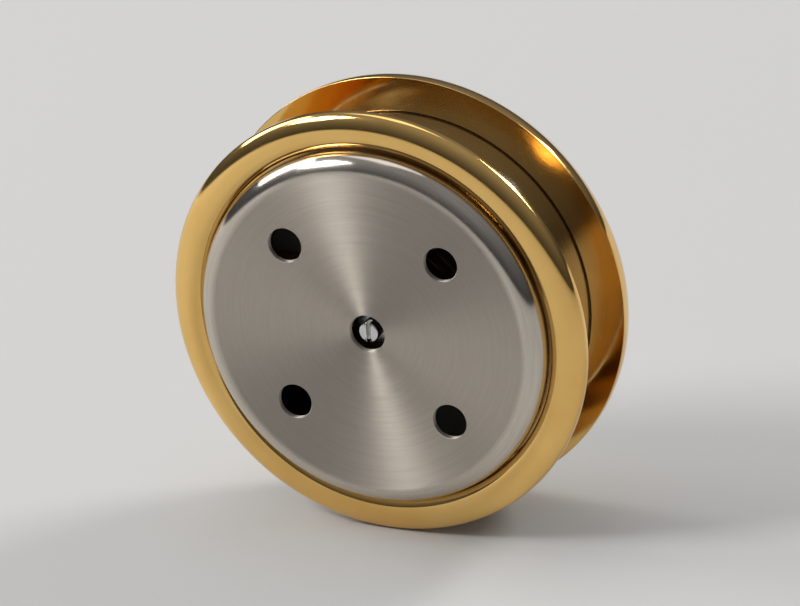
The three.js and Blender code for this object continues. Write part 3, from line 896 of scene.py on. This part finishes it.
scale_line = arc_band(STROKE_END, STROKE_END + SCALE_LINE, 0, 100, 120)
cigar_range = arc_band(RANGE_INNER, RANGE_OUTER, 65, 75, 24)
piece("scale_strokes", strokes(), "case", "pointer_black", black_ink)
piece("scale_line", scale_line, "case", "pointer_black", black_ink)
piece("cigar_range", cigar_range, "case", "dial_enamel", green_ink)

# %% [markdown]
# ## The numbers
#
# The numbers are printed in the same ink and stand upright, every ten per cent, inside the
# strokes. Blender's own text gives clean outlines for them. A text object can't be joined with
# meshes, so each number is extruded, made a mesh and only then moved to its place.

# %% Numbers
NUMBER_R, NUMBER_SIZE = 11.1, 2.5
SIGN_SIZE, SIGN_Z = 3.2, -8.2


def lettering(text, size, x, z):
    """A word as a mesh that faces the front, with its middle at (x, z)."""
    curve = bpy.data.curves.new("text", "FONT")
    curve.body, curve.size, curve.extrude = text, size, INK / 2
    curve.align_x, curve.align_y, curve.resolution_u = "CENTER", "CENTER", 6
    source = bpy.data.objects.new("text", curve)
    bpy.context.scene.collection.objects.link(source)
    evaluated = source.evaluated_get(bpy.context.evaluated_depsgraph_get())
    data = bpy.data.meshes.new_from_object(evaluated)
    bpy.data.objects.remove(source)
    upright = Matrix.Rotation(math.pi / 2, 4, "X")
    data.transform(Matrix.Translation((x, ink_middle, z)) @ upright)
    return data


def numbers():
    mesh = bmesh.new()
    for percent in range(0, 101, 10):
        turn = reading(percent)
        spot = NUMBER_R * math.sin(turn), NUMBER_R * math.cos(turn)
        mesh.from_mesh(lettering(str(percent), NUMBER_SIZE, *spot))
    mesh.from_mesh(lettering("%", SIGN_SIZE, 0, SIGN_Z))
    bmesh.ops.remove_doubles(mesh, verts=mesh.verts[:], dist=WELD)
    bmesh.ops.dissolve_degenerate(mesh, edges=mesh.edges[:], dist=WELD)
    bmesh.ops.recalc_face_normals(mesh, faces=mesh.faces[:])
    return mesh


piece("scale_numbers", numbers(), "case", "pointer_black", black_ink)

# %% [markdown]
# ## Slotted ends
#
# The bridge's screws and the adjuster post have a saw cut for a screwdriver. The cut could be a
# Boolean, but building it up is cleaner: the turned blank ends at the floor of the cut, two
# planes divide that end into three, and the two outer parts are raised beside the cut. Then their
# upper edges are bevelled.

# %% Raise the cheeks of a saw cut


def slotted(mesh, floor, mouth, width, edge):
    """Raises a flat end at the floor to the mouth, but for a saw cut that runs along Z."""

    def flats(place):
        return [f for f in mesh.faces if all(abs(v.co.y - place) < WELD for v in f.verts)]

    def edges_of(faces):
        return list(dict.fromkeys(edge for face in faces for edge in face.edges))

    for side in (-1, 1):
        end = flats(floor)
        verts = list(dict.fromkeys(vert for face in end for vert in face.verts))
        bmesh.ops.bisect_plane(
            mesh,
            geom=end + edges_of(end) + verts,
            dist=WELD / 10,
            plane_co=(side * width / 2, 0, 0),
            plane_no=(1, 0, 0),
        )
    cheeks = [face for face in flats(floor) if abs(face.calc_center_median().x) > width / 2]
    raised = bmesh.ops.extrude_face_region(mesh, geom=cheeks + edges_of(cheeks))["geom"]
    bmesh.ops.translate(mesh, vec=(0, mouth - floor, 0), verts=newest(raised)[0])
    brim = [e for e in edges_of(flats(mouth)) if e.calc_face_angle(0) > SHARP]
    bmesh.ops.bevel(
        mesh,
        geom=brim,
        offset=edge,
        offset_type="OFFSET",
        segments=3,
        profile=0.5,
        affect="EDGES",
        clamp_overlap=False,
        material=-1,
    )
    return mesh


print("saw ready")

# %% [markdown]
# ## Bridge screws
#
# Two small screws hold the movement's bridge behind the dial, and their heads show on it. Each is
# turned about its own middle on the axis, with the thread as plain rings, since a true helix
# would not show inside the brass. Then it is slotted and moved to its hole, and its finish has
# the turning marks about that hole.

# %% Turn, slot and place the screws
SCREW_R, SCREW_HEAD_R, SCREW_CUT_W, SCREW_CUT_H = 0.7, 1.3, 0.35, 0.3
THREAD_PITCH, THREAD_DEPTH = 0.14, 0.07
THREAD_RUN_IN, THREAD_RUN_OUT = 0.05, 0.1


def bridge_screw(front, tail):
    cut_floor = front + SCREW_CUT_H
    thread_start = dial_back + THREAD_RUN_IN
    section = [(0, cut_floor), (SCREW_HEAD_R, cut_floor)]
    section += [(SCREW_HEAD_R, dial_front), (SCREW_R, dial_front)]
    for i in range(int((tail - THREAD_RUN_OUT - thread_start) / THREAD_PITCH)):
        place = thread_start + i * THREAD_PITCH
        section += [(SCREW_R, place), (SCREW_R - THREAD_DEPTH, place + THREAD_PITCH / 2)]
    section += [(SCREW_R, tail, 0.1), (0, tail)]
    return slotted(turned(section, SMALL_STEPS), cut_floor, front, SCREW_CUT_W, 0.12)


SCREW_STEEL, DULL_SCREW_STEEL = (0.62, 0.62, 0.62), (0.45, 0.44, 0.42)
for side, spot in zip(("left", "right"), screw_spots):
    cad_screw = "bridge_screw_" + side
    steel = turned_metal(
        "screw_steel_" + side, SCREW_STEEL, DULL_SCREW_STEEL, (0.16, 0.3), 0.00006, spot
    )
    screw = bridge_screw(*depth(cad_screw))
    bmesh.ops.translate(screw, vec=(spot[0], 0, spot[1]), verts=screw.verts[:])
    piece("slotted_screw_" + side, screw, "case", "bright_steel", steel, cad_screw)

# %% [markdown]
# ## The post in the middle of the back
#
# Through the middle hole of the can shows the slotted end of the adjuster post: a turn of a
# screwdriver swings the whole coil and corrects the reading. It is bright turned steel with a
# head at its inner end, a blind hole for the pointer's arbor and a groove for the clip. All of
# that is one section, so spinning it is the shortest way.

# %% Adjuster post
POST_R, POST_CUT_W, POST_CUT_H = 1.05, 0.4, 0.8
POST_HEAD_R, PIVOT_R = 1.7, 0.48
PIVOT_DEPTH, PIVOT_TIP, CLIP_GROOVE = 1.5, 1.75, 0.15
post_front, post_back = depth("adjuster_post")
clip_r, clip_front, clip_back = span("post_clip")
arm_front, arm_back = depth("carrier_arm")
post_steel = turned_metal(
    "post_steel", (0.72, 0.72, 0.71), (0.55, 0.54, 0.52), (0.14, 0.26), 0.00005
)
cut_floor = post_back - POST_CUT_H
post_section = [
    (0, post_front + PIVOT_TIP),
    (PIVOT_R, post_front + PIVOT_DEPTH),
    (PIVOT_R, post_front, 0.08),
    (POST_HEAD_R, post_front, 0.12),
    (POST_HEAD_R, arm_front),
    (POST_R, arm_front),
    (POST_R, clip_front),
    (POST_R - CLIP_GROOVE, clip_front),
    (POST_R - CLIP_GROOVE, clip_back),
    (POST_R, clip_back),
    (POST_R, cut_floor),
    (0, cut_floor),
]
post = slotted(turned(post_section, 96), cut_floor, post_back, POST_CUT_W, 0.16)
piece("slotted_post", post, "adjuster", "bright_steel", post_steel, "adjuster_post")

# %% [markdown]
# ## Parts stamped from strip
#
# The arm and the pointer are stamped from thin sheet, so each is a flat outline with a thickness
# and slightly broken edges. Arcs are drawn by spinning a point, straight sides are edges between
# them, half an outline is enough because mirror makes the other half, and the inside is filled
# around the holes. Strip metal keeps the lines of the rolling mill along it.

# %% Outlines and rolled strip
STAMPED_EDGE = 0.04
ROLLED_GRAIN = 9000.0  # rolling lines to the metre


class Outline:
    """One half of a flat outline square to the axis, from the middle line round to it again."""

    def __init__(self, place):
        self.mesh = bmesh.new()
        self.place = place
        self.last = None

    def line(self, x, z):
        """A straight side to (x, z)."""
        point = self.mesh.verts.new((x, self.place, z))
        if self.last:
            self.mesh.edges.new((self.last, point))
        self.last = point
        return self

    def arc(self, z, degrees, steps):
        """An arc about (0, z) from the last point, clockwise as the dial is seen."""
        swung = bmesh.ops.spin(
            self.mesh,
            geom=[self.last],
            cent=(0, self.place, z),
            axis=(0, 1, 0),
            angle=math.radians(degrees),
            steps=steps,
        )["geom_last"]
        self.last = newest(swung)[0][0]
        return self

    def stamped(self, thickness, holes):
        """Mirrors the half, fills it round the holes and raises it towards the back."""
        mesh = self.mesh
        bmesh.ops.mirror(mesh, geom=mesh.verts[:] + mesh.edges[:], merge_dist=WELD, axis="X")
        bmesh.ops.remove_doubles(mesh, verts=mesh.verts[:], dist=WELD)
        pierced(mesh, mesh.edges[:], holes, self.place)
        raised = bmesh.ops.extrude_face_region(mesh, geom=mesh.faces[:] + mesh.edges[:])
        bmesh.ops.translate(mesh, vec=(0, thickness, 0), verts=newest(raised["geom"])[0])
        bmesh.ops.recalc_face_normals(mesh, faces=mesh.faces[:])
        return mesh


def rolled_metal(name, colour, dark, rough, grain=(1, 1, 1)):
    """Strip metal with stains and rolling lines, longest where the grain's share is least."""
    material, tree, shader = finish_of(name, colour, rough[0], 1.0)
    fine = tuple(ROLLED_GRAIN * share for share in grain)
    lines = noise(tree, scaled(tree, place_of(tree), fine), 1.0, 3.0)
    stain = ranged(tree, clouds(tree, 0.003, 4.0), 0.42, 0.75, 0.0, 1.0)
    varied(tree, shader, mixed(tree, stain, colour, dark), ranged(tree, lines, 0.3, 0.7, *rough))
    bumped(tree, shader, lines, 0.2, 0.00001)
    return material


print("press ready")

# %% [markdown]
# ## Clip and spring washer
#
# Behind the bush a split ring sits in the post's groove and keeps the post in; before it a dished
# washer of blued spring steel presses on the bush and gives the post its friction. The clip is a
# small section swept through most of a turn, and the washer is a slanted section spun all round.

# %% Clip and washer
CLIP_BORE, CLIP_OPENING = 0.92, 35.0  # millimetres and degrees
WASHER_BORE, WASHER_T = 1.13, 0.2
washer_r, washer_front, washer_back = span("friction_washer")
clip_steel = rolled_metal("clip_steel", (0.6, 0.6, 0.6), (0.42, 0.41, 0.4), (0.2, 0.35))
spring_steel = rolled_metal(
    "spring_steel", (0.42, 0.43, 0.46), (0.3, 0.28, 0.3), (0.2, 0.34)
)
clip_section = [
    (CLIP_BORE, clip_front, 0.05),
    (clip_r, clip_front, 0.05),
    (clip_r, clip_back, 0.05),
    (CLIP_BORE, clip_back, 0.05),
]
washer_section = [
    (WASHER_BORE, washer_front, 0.05),
    (WASHER_BORE, washer_front + WASHER_T, 0.05),
    (washer_r, washer_back, 0.05),
    (washer_r, washer_back - WASHER_T, 0.05),
]
opening = math.radians(CLIP_OPENING)
clip = swept(clip_section, opening / 2, 2 * math.pi - opening, SMALL_STEPS)
washer = turned(washer_section, SMALL_STEPS)
piece("split_clip", clip, "adjuster", "bright_steel", clip_steel, "post_clip")
piece("dished_washer", washer, "adjuster", "spring_steel", spring_steel, "friction_washer")

# %% [markdown]
# ## The arm
#
# A stamped brass arm is riveted to the post and carries the coil's outer end, so turning the post
# winds nothing up: it swings the whole coil. Its outline is a round eye with a straight bar that
# ends in a half round, and the rolling lines run along the bar.

# %% Stamped arm
BRASS, DULL_BRASS = (0.72, 0.5, 0.2), (0.42, 0.28, 0.11)
ARM_EYE_R, ARM_W, ARM_BORE, ARM_JOIN = 2.1, 1.8, 1.07, 0.4
arm_brass = rolled_metal("arm_brass", BRASS, DULL_BRASS, (0.25, 0.42), (1, 1, 0.06))
arm_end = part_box("carrier_arm")[0].z / MM


def carrier_arm():
    half_w = ARM_W / 2
    join = -math.sqrt(ARM_EYE_R**2 - half_w**2)  # where the bar leaves the eye
    sweep = 180 - math.degrees(math.asin(half_w / ARM_EYE_R))
    half = Outline(arm_front).line(0, ARM_EYE_R).arc(0, sweep, 28)
    half.line(half_w, join - ARM_JOIN).line(half_w, arm_end + half_w)
    half.arc(arm_end + half_w, 90, 12)
    return half.stamped(arm_back - arm_front, [(0, 0, ARM_BORE)])


arm = carrier_arm()
piece(
    "stamped_arm",
    arm,
    "adjuster",
    "movement_brass",
    arm_brass,
    "carrier_arm",
    edge=STAMPED_EDGE,
)

# %% [markdown]
# ## The stud
#
# A square stud under the arm's end holds the outer end of the coil. It is sawn from square bar,
# so a box is its true shape; what makes it a stud is the pad that stands out towards the coil,
# with a small shoulder round it, which an inset draws.

# %% Coil stud
PAD_EDGE, PAD_SHOULDER = 0.18, 0.12


def coil_stud():
    mesh = bmesh.new()
    low, high = (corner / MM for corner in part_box("coil_stud"))
    place = Matrix.Translation((low + high) / 2) @ Matrix.Diagonal((*(high - low), 1))
    bmesh.ops.create_cube(mesh, size=1, matrix=place)
    near = [face for face in mesh.faces if face.normal.z > 0.9]
    bmesh.ops.inset_region(
        mesh, faces=near, thickness=PAD_EDGE, depth=-PAD_SHOULDER, use_even_offset=True
    )
    return mesh


stud = coil_stud()
piece("coil_stud_block", stud, "adjuster", "movement_brass", arm_brass, "coil_stud", edge=0.08)

# %% [markdown]
# ## The coil
#
# The coil is the instrument's sense: a metal strip with a film on its outside that swells in
# moist air, so that the spiral winds up. A curve with a bevel could follow the spiral, but its
# section would turn with the curve. Here the strip's small section is extruded step by step: each
# new end moves out a little and turns about the axis, like winding it by hand. The bronze is
# drawn along its length, and the film is a brown, slightly fibrous skin.

# %% Wind the strip
COIL_TURNS, COIL_STEPS = 6.5, 44
COIL_R, COIL_INNER_R, STRIP_T, METAL_T, FILM_MARGIN = 9.5, 1.4, 0.3, 0.14, 0.12
BRONZE, TINTED_BRONZE = (0.62, 0.4, 0.24), (0.4, 0.24, 0.16)
FILM, PALE_FILM = (0.14, 0.065, 0.03), (0.3, 0.16, 0.075)
coil_front, coil_back = depth("hygro_coil")


def wound(inner, thickness, front, back):
    """A strip wound outwards from 12 o'clock to 6 o'clock, against the clock from the front."""
    mesh = bmesh.new()
    outer = inner + thickness
    section = [(0, front, inner), (0, front, outer), (0, back, outer), (0, back, inner)]
    _, loop = wire(mesh, section)
    steps = round(COIL_TURNS * COIL_STEPS)
    growth = (COIL_R - STRIP_T - COIL_INNER_R) / steps
    step = 2 * math.pi / COIL_STEPS
    for i in range(steps):
        end, loop = newest(bmesh.ops.extrude_edge_only(mesh, edges=loop)["geom"])
        outward = Vector((-math.sin(i * step), 0, math.cos(i * step))) * growth
        bmesh.ops.translate(mesh, vec=outward, verts=end)
        bmesh.ops.rotate(mesh, verts=end, matrix=Matrix.Rotation(-step, 3, "Y"))
    return capped(mesh)


def moisture_film():
    material, tree, shader = finish_of("moisture_film", FILM, 0.55)
    fibre = noise(tree, scaled(tree, place_of(tree), (1500, 9000, 1500)), 1.0)
    rough = ranged(tree, fibre, 0.3, 0.7, 0.45, 0.7)
    varied(tree, shader, mixed(tree, fibre, FILM, PALE_FILM), rough)
    bumped(tree, shader, fibre, 0.3, 0.00002)
    return material


bronze = rolled_metal("coil_bronze", BRONZE, TINTED_BRONZE, (0.26, 0.4), (0.15, 1, 0.15))
strip = wound(COIL_INNER_R, METAL_T, coil_front, coil_back)
piece("coil_strip", strip, "adjuster", "coil_bronze", bronze, "hygro_coil", edge=0.02)
film_depth = coil_front + FILM_MARGIN, coil_back - FILM_MARGIN
film = wound(COIL_INNER_R + METAL_T, STRIP_T - METAL_T, *film_depth)
piece("coil_film", film, "adjuster", "coil_bronze", moisture_film(), edge=0.02)

# %% [markdown]
# ## Bushes
#
# Two flanged brass bushes carry the spindles: one in the dial for the pointer's arbor, and one in
# the bridge for the adjuster post. Each is a section with broken corners, and the marks of the
# tool are rings about the axis. Both share one brass, which is duller where the polish has gone.

# %% Turned bushes
DIAL_BUSH_R, DIAL_FLANGE_R, DIAL_FLANGE_T = 1.2, 2.1, 0.4
POST_BORE, POST_BUSH_R, POST_FLANGE_R, POST_FLANGE_T = 1.13, 1.88, 2.6, 0.5
turned_brass = turned_metal("turned_brass", BRASS, DULL_BRASS, (0.2, 0.36), 0.00008)


def brass_turning(name, section, body, stands_for, steps=SMALL_STEPS):
    """A small piece of turned brass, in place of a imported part."""
    piece(name, turned(section, steps), body, "movement_brass", turned_brass, stands_for)


bush_front, bush_tail = depth("arbor_bush")
flange_end = dial_back + DIAL_FLANGE_T
arbor_bush_section = [
    (PIVOT_R, bush_front, 0.06),
    (DIAL_BUSH_R, bush_front, 0.08),
    (DIAL_BUSH_R, dial_back),
    (DIAL_FLANGE_R, dial_back, 0.07),
    (DIAL_FLANGE_R, flange_end, 0.07),
    (DIAL_BUSH_R, flange_end),
    (DIAL_BUSH_R, bush_tail, 0.08),
    (PIVOT_R, bush_tail, 0.06),
]
brass_turning("arbor_bush_turned", arbor_bush_section, "case", "arbor_bush")

strap_side, bush_back = depth("adjuster_bush")
adjuster_bush_section = [
    (POST_BORE, strap_side, 0.06),
    (POST_FLANGE_R, strap_side, 0.08),
    (POST_FLANGE_R, strap_side + POST_FLANGE_T),
    (POST_BUSH_R, strap_side + POST_FLANGE_T),
    (POST_BUSH_R, bush_back, 0.1),
    (POST_BORE, bush_back, 0.06),
]
brass_turning("adjuster_bush_turned", adjuster_bush_section, "case", "adjuster_bush")

# %% [markdown]
# ## Collet and hub
#
# On the arbor sit a collet, waisted in its middle, that grips the coil's inner end, and a stepped
# hub that carries the pointer. They are brass turnings like the bushes but ride with the needle.

# %% Turned collet and hub
GRIP_R = 0.42  # bore of the pieces on the arbor
COLLET_END, COLLET_SLOPE, COLLET_WAIST = 0.8, 0.1, 0.12
HUB_FLANGE_T, HUB_SLOPE, HUB_STEP = 0.25, 0.05, 0.3
collet_r, collet_front, collet_back = span("coil_collet")
collet_section = [
    (GRIP_R, collet_front, 0.05),
    (collet_r, collet_front, 0.1),
    (collet_r, collet_front + COLLET_END),
    (collet_r - COLLET_WAIST, collet_front + COLLET_END + COLLET_SLOPE),
    (collet_r - COLLET_WAIST, collet_back - COLLET_END - COLLET_SLOPE),
    (collet_r, collet_back - COLLET_END),
    (collet_r, collet_back, 0.1),
    (GRIP_R, collet_back, 0.05),
]
brass_turning("collet_turned", collet_section, "needle", "coil_collet")

hub_r, hub_front, hub_back = span("pointer_hub")
hub_section = [
    (GRIP_R, hub_front, 0.04),
    (hub_r, hub_front, 0.06),
    (hub_r, hub_front + HUB_FLANGE_T, 0.05),
    (hub_r - HUB_STEP, hub_front + HUB_FLANGE_T + HUB_SLOPE),
    (hub_r - HUB_STEP, hub_back, 0.06),
    (GRIP_R, hub_back, 0.04),
]
brass_turning("hub_turned", hub_section, "needle", "pointer_hub", 60)

# %% [markdown]
# ## The arbor
#
# The pointer's shaft is a thin polished steel pin with a reduced pivot at its back end, which
# runs in the post's blind hole. Pivots are burnished, so its steel is the brightest in here.

# %% Turned arbor
ARBOR_R, PIVOT_L, PIVOT_SLOPE, PIVOT_STEP, PIVOT_TAPER = 0.4, 0.4, 0.1, 0.15, 0.02
arbor_front, arbor_back = depth("arbor")
arbor_steel = turned_metal(
    "arbor_steel", (0.66, 0.66, 0.66), (0.5, 0.49, 0.48), (0.1, 0.2), 0.00004
)
arbor_section = [
    (0, arbor_front),
    (ARBOR_R, arbor_front, 0.06),
    (ARBOR_R, arbor_back - PIVOT_L - PIVOT_SLOPE, 0.05),
    (ARBOR_R - PIVOT_STEP, arbor_back - PIVOT_L),
    (ARBOR_R - PIVOT_STEP - PIVOT_TAPER, arbor_back, 0.06),
    (0, arbor_back),
]
arbor = turned(arbor_section, 48)
piece("arbor_turned", arbor, "needle", "bright_steel", arbor_steel, "arbor")

# %% [markdown]
# ## The pointer
#
# The pointer is stamped from thin sheet and sprayed black: a long taper, an eye on the hub and a
# round counterweight on a neck. Half of it is drawn, mirrored and raised at 12 o'clock, where its
# outline is simple, and then it is turned to the 70 % that it shows at rest.

# %% The needle
REST_PERCENT = 70
TIP, TIP_HALF, ROOT_HALF, EYE_R = 13.2, 0.125, 0.62, 1.5
TAIL, TAIL_R, NECK_HALF = -4.6, 1.15, 0.35
needle_front, needle_back = depth("pointer")
needle_lacquer = mottled(
    "pointer_lacquer",
    ((0.01, 0.01, 0.012), (0.028, 0.027, 0.027)),
    (0.22, 0.4),
    patch=(0.0012, 4.0),
    grain=(5000.0, 3.0),
    relief=(0.12, 0.00001),
    **coat(0.5, 0.12),
)


def needle_shape():
    meet = math.degrees(math.asin(ROOT_HALF / EYE_R))
    leave = math.degrees(math.asin(NECK_HALF / EYE_R))
    enter = math.degrees(math.asin(NECK_HALF / TAIL_R))
    half = Outline(needle_front).line(0, TIP).line(TIP_HALF, TIP)
    half.line(ROOT_HALF, EYE_R * math.cos(math.radians(meet))).arc(0, 180 - meet - leave, 20)
    half.line(NECK_HALF, TAIL + TAIL_R * math.cos(math.radians(enter)))
    half.arc(TAIL, 180 - enter, 20)
    mesh = half.stamped(needle_back - needle_front, [(0, 0, GRIP_R)])
    turn = Matrix.Rotation(reading(REST_PERCENT), 3, "Y")
    bmesh.ops.rotate(mesh, verts=mesh.verts[:], matrix=turn)
    return mesh


needle = needle_shape()
piece("needle_stamped", needle, "needle", "pointer_black", needle_lacquer, "pointer", edge=0.03)

# %% [markdown]
# ## The cap
#
# A small domed cap in the rings' gold hides the end of the arbor. It is pressed on, so it has a
# short bore at its back. Its dome is one corner with full rounding.

# %% Domed cap
CAP_RIM, CAP_BORE_DEPTH = 0.15, 0.25
cap_r, cap_front, cap_back = span("pointer_cap")
cap_section = [
    (0, cap_front),
    (cap_r, cap_front, FULL),
    (cap_r, cap_back - CAP_RIM),
    (cap_r, cap_back, 0.04),
    (GRIP_R, cap_back),
    (GRIP_R, cap_back - CAP_BORE_DEPTH),
    (0, cap_back - CAP_BORE_DEPTH),
]
cap = turned(cap_section, SMALL_STEPS)
piece("domed_cap", cap, "needle", "gold_brass", gold, "pointer_cap")

# %% [markdown]
# ## The moulded ring
#
# A black moulded ring keeps the dial off the can's back. Moulded plastic is matt from a
# spark-eroded tool, with slightly glossier patches where the melt flowed last. Its section is
# spun like the others, with the larger roundings that a mould leaves.

# %% The ring behind the dial
MOULDED_BORE, MOULDED_SLOPE_L, MOULDED_SLOPE_W = 16.2, 1.25, 1.05
black_moulding = mottled(
    "black_moulding",
    ((0.018, 0.018, 0.019), (0.034, 0.033, 0.033)),
    (0.42, 0.62),
    patch=(0.006,),
    grain=(6000.0, 4.0, 0.7),
    relief=(0.35, 0.00003),
)
moulded_r, moulded_front, moulded_back = span("movement_ring")
moulded_section = [
    (MOULDED_BORE, moulded_front, 0.15),
    (moulded_r, moulded_front, 0.1),
    (moulded_r, moulded_back - MOULDED_SLOPE_L, 0.3),
    (moulded_r - MOULDED_SLOPE_W, moulded_back, 0.2),
    (MOULDED_BORE, moulded_back, 0.15),
]
moulded = turned(moulded_section)
piece("moulded_ring", moulded, "case", "black_moulding", black_moulding, "movement_ring")

# %% [markdown]
# ## The bridge
#
# The bridge is one brass strap, bent twice at each side. It is built like sheet metal: three
# flats with their holes, and between them the bends and legs, made by spinning a flat's end edge
# a quarter turn about the bend's middle and drawing it straight on. Solidify gives it the
# thickness of the sheet.

# %% The folded strap
STRAP_HALF, BEND_R, BEND_STEPS, FOOT_END = 3.0, 1.0, 10, 6.2
BUSH_HOLE_R, FOOT_HOLE_R = 1.9, 0.78
foot_front, strap_back = depth("movement_bridge")
strap_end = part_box("movement_bridge")[1].x / MM - BEND_R  # where the flats meet their bends


def flat_of(mesh, left, right, place, holes):
    """A rectangle square to the axis with holes in it."""
    corners = [(left, -STRAP_HALF), (right, -STRAP_HALF), (right, STRAP_HALF), (left, STRAP_HALF)]
    _, rim = wire(mesh, [(x, place, z) for x, z in corners])
    pierced(mesh, rim, holes, place)


def bend(mesh, edge, x, place, degrees):
    """Spins an edge about a bend's middle at (x, place), and returns the edge it ends in."""
    last = bmesh.ops.spin(
        mesh,
        geom=[edge, *edge.verts],
        cent=(x, place, 0),
        axis=(0, 0, 1),
        angle=math.radians(degrees),
        steps=BEND_STEPS,
    )["geom_last"]
    return newest(last)[1][0]


def folded_strap():
    mesh = bmesh.new()
    flat_of(mesh, -strap_end, strap_end, strap_back, [(0, 0, BUSH_HOLE_R)])
    upper, lower = strap_back - BEND_R, foot_front + BEND_R
    for side, spot in zip((-1, 1), screw_spots):
        end = side * strap_end
        foot = sorted((side * FOOT_END, end))
        flat_of(mesh, *foot, foot_front, [(*spot, FOOT_HOLE_R)])
        at_end = open_edges(mesh, lambda at, x=end: abs(at.x - x) < WELD and at.y > upper + WELD)
        top = bend(mesh, at_end[0], end, upper, -side * 90)
        verts, edges = newest(bmesh.ops.extrude_edge_only(mesh, edges=[top])["geom"])
        bmesh.ops.translate(mesh, vec=(0, lower - upper, 0), verts=verts)
        bend(mesh, edges[0], end, lower, -side * 90)
    bmesh.ops.remove_doubles(mesh, verts=mesh.verts[:], dist=WELD)
    bmesh.ops.recalc_face_normals(mesh, faces=mesh.faces[:])
    back = next(f for f in mesh.faces if f.calc_center_median().y > strap_back - WELD)
    if back.normal.y < 0:
        bmesh.ops.reverse_faces(mesh, faces=mesh.faces[:])
    return mesh


strap_brass = rolled_metal("strap_brass", BRASS, DULL_BRASS, (0.25, 0.42), (0.05, 1, 1))
piece(
    "folded_strap",
    folded_strap(),
    "case",
    "movement_brass",
    strap_brass,
    "movement_bridge",
    wall=SHEET,
    edge=STAMPED_EDGE,
)

# %% [markdown]
# ## Sizes at the end
#
# The finished pieces are meant to keep the imported part's size, so both boxes are printed side by
# side: the imported model's and the finished one's.

# %% Sizes and finish
visual_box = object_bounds()
boxes = {name: [list(at) for at in box] for name, box in (("cad", cad_box), ("visual", visual_box))}
for name, box in boxes.items():
    print(name, "box", [[round(value / MM, 2) for value in corner] for corner in box])
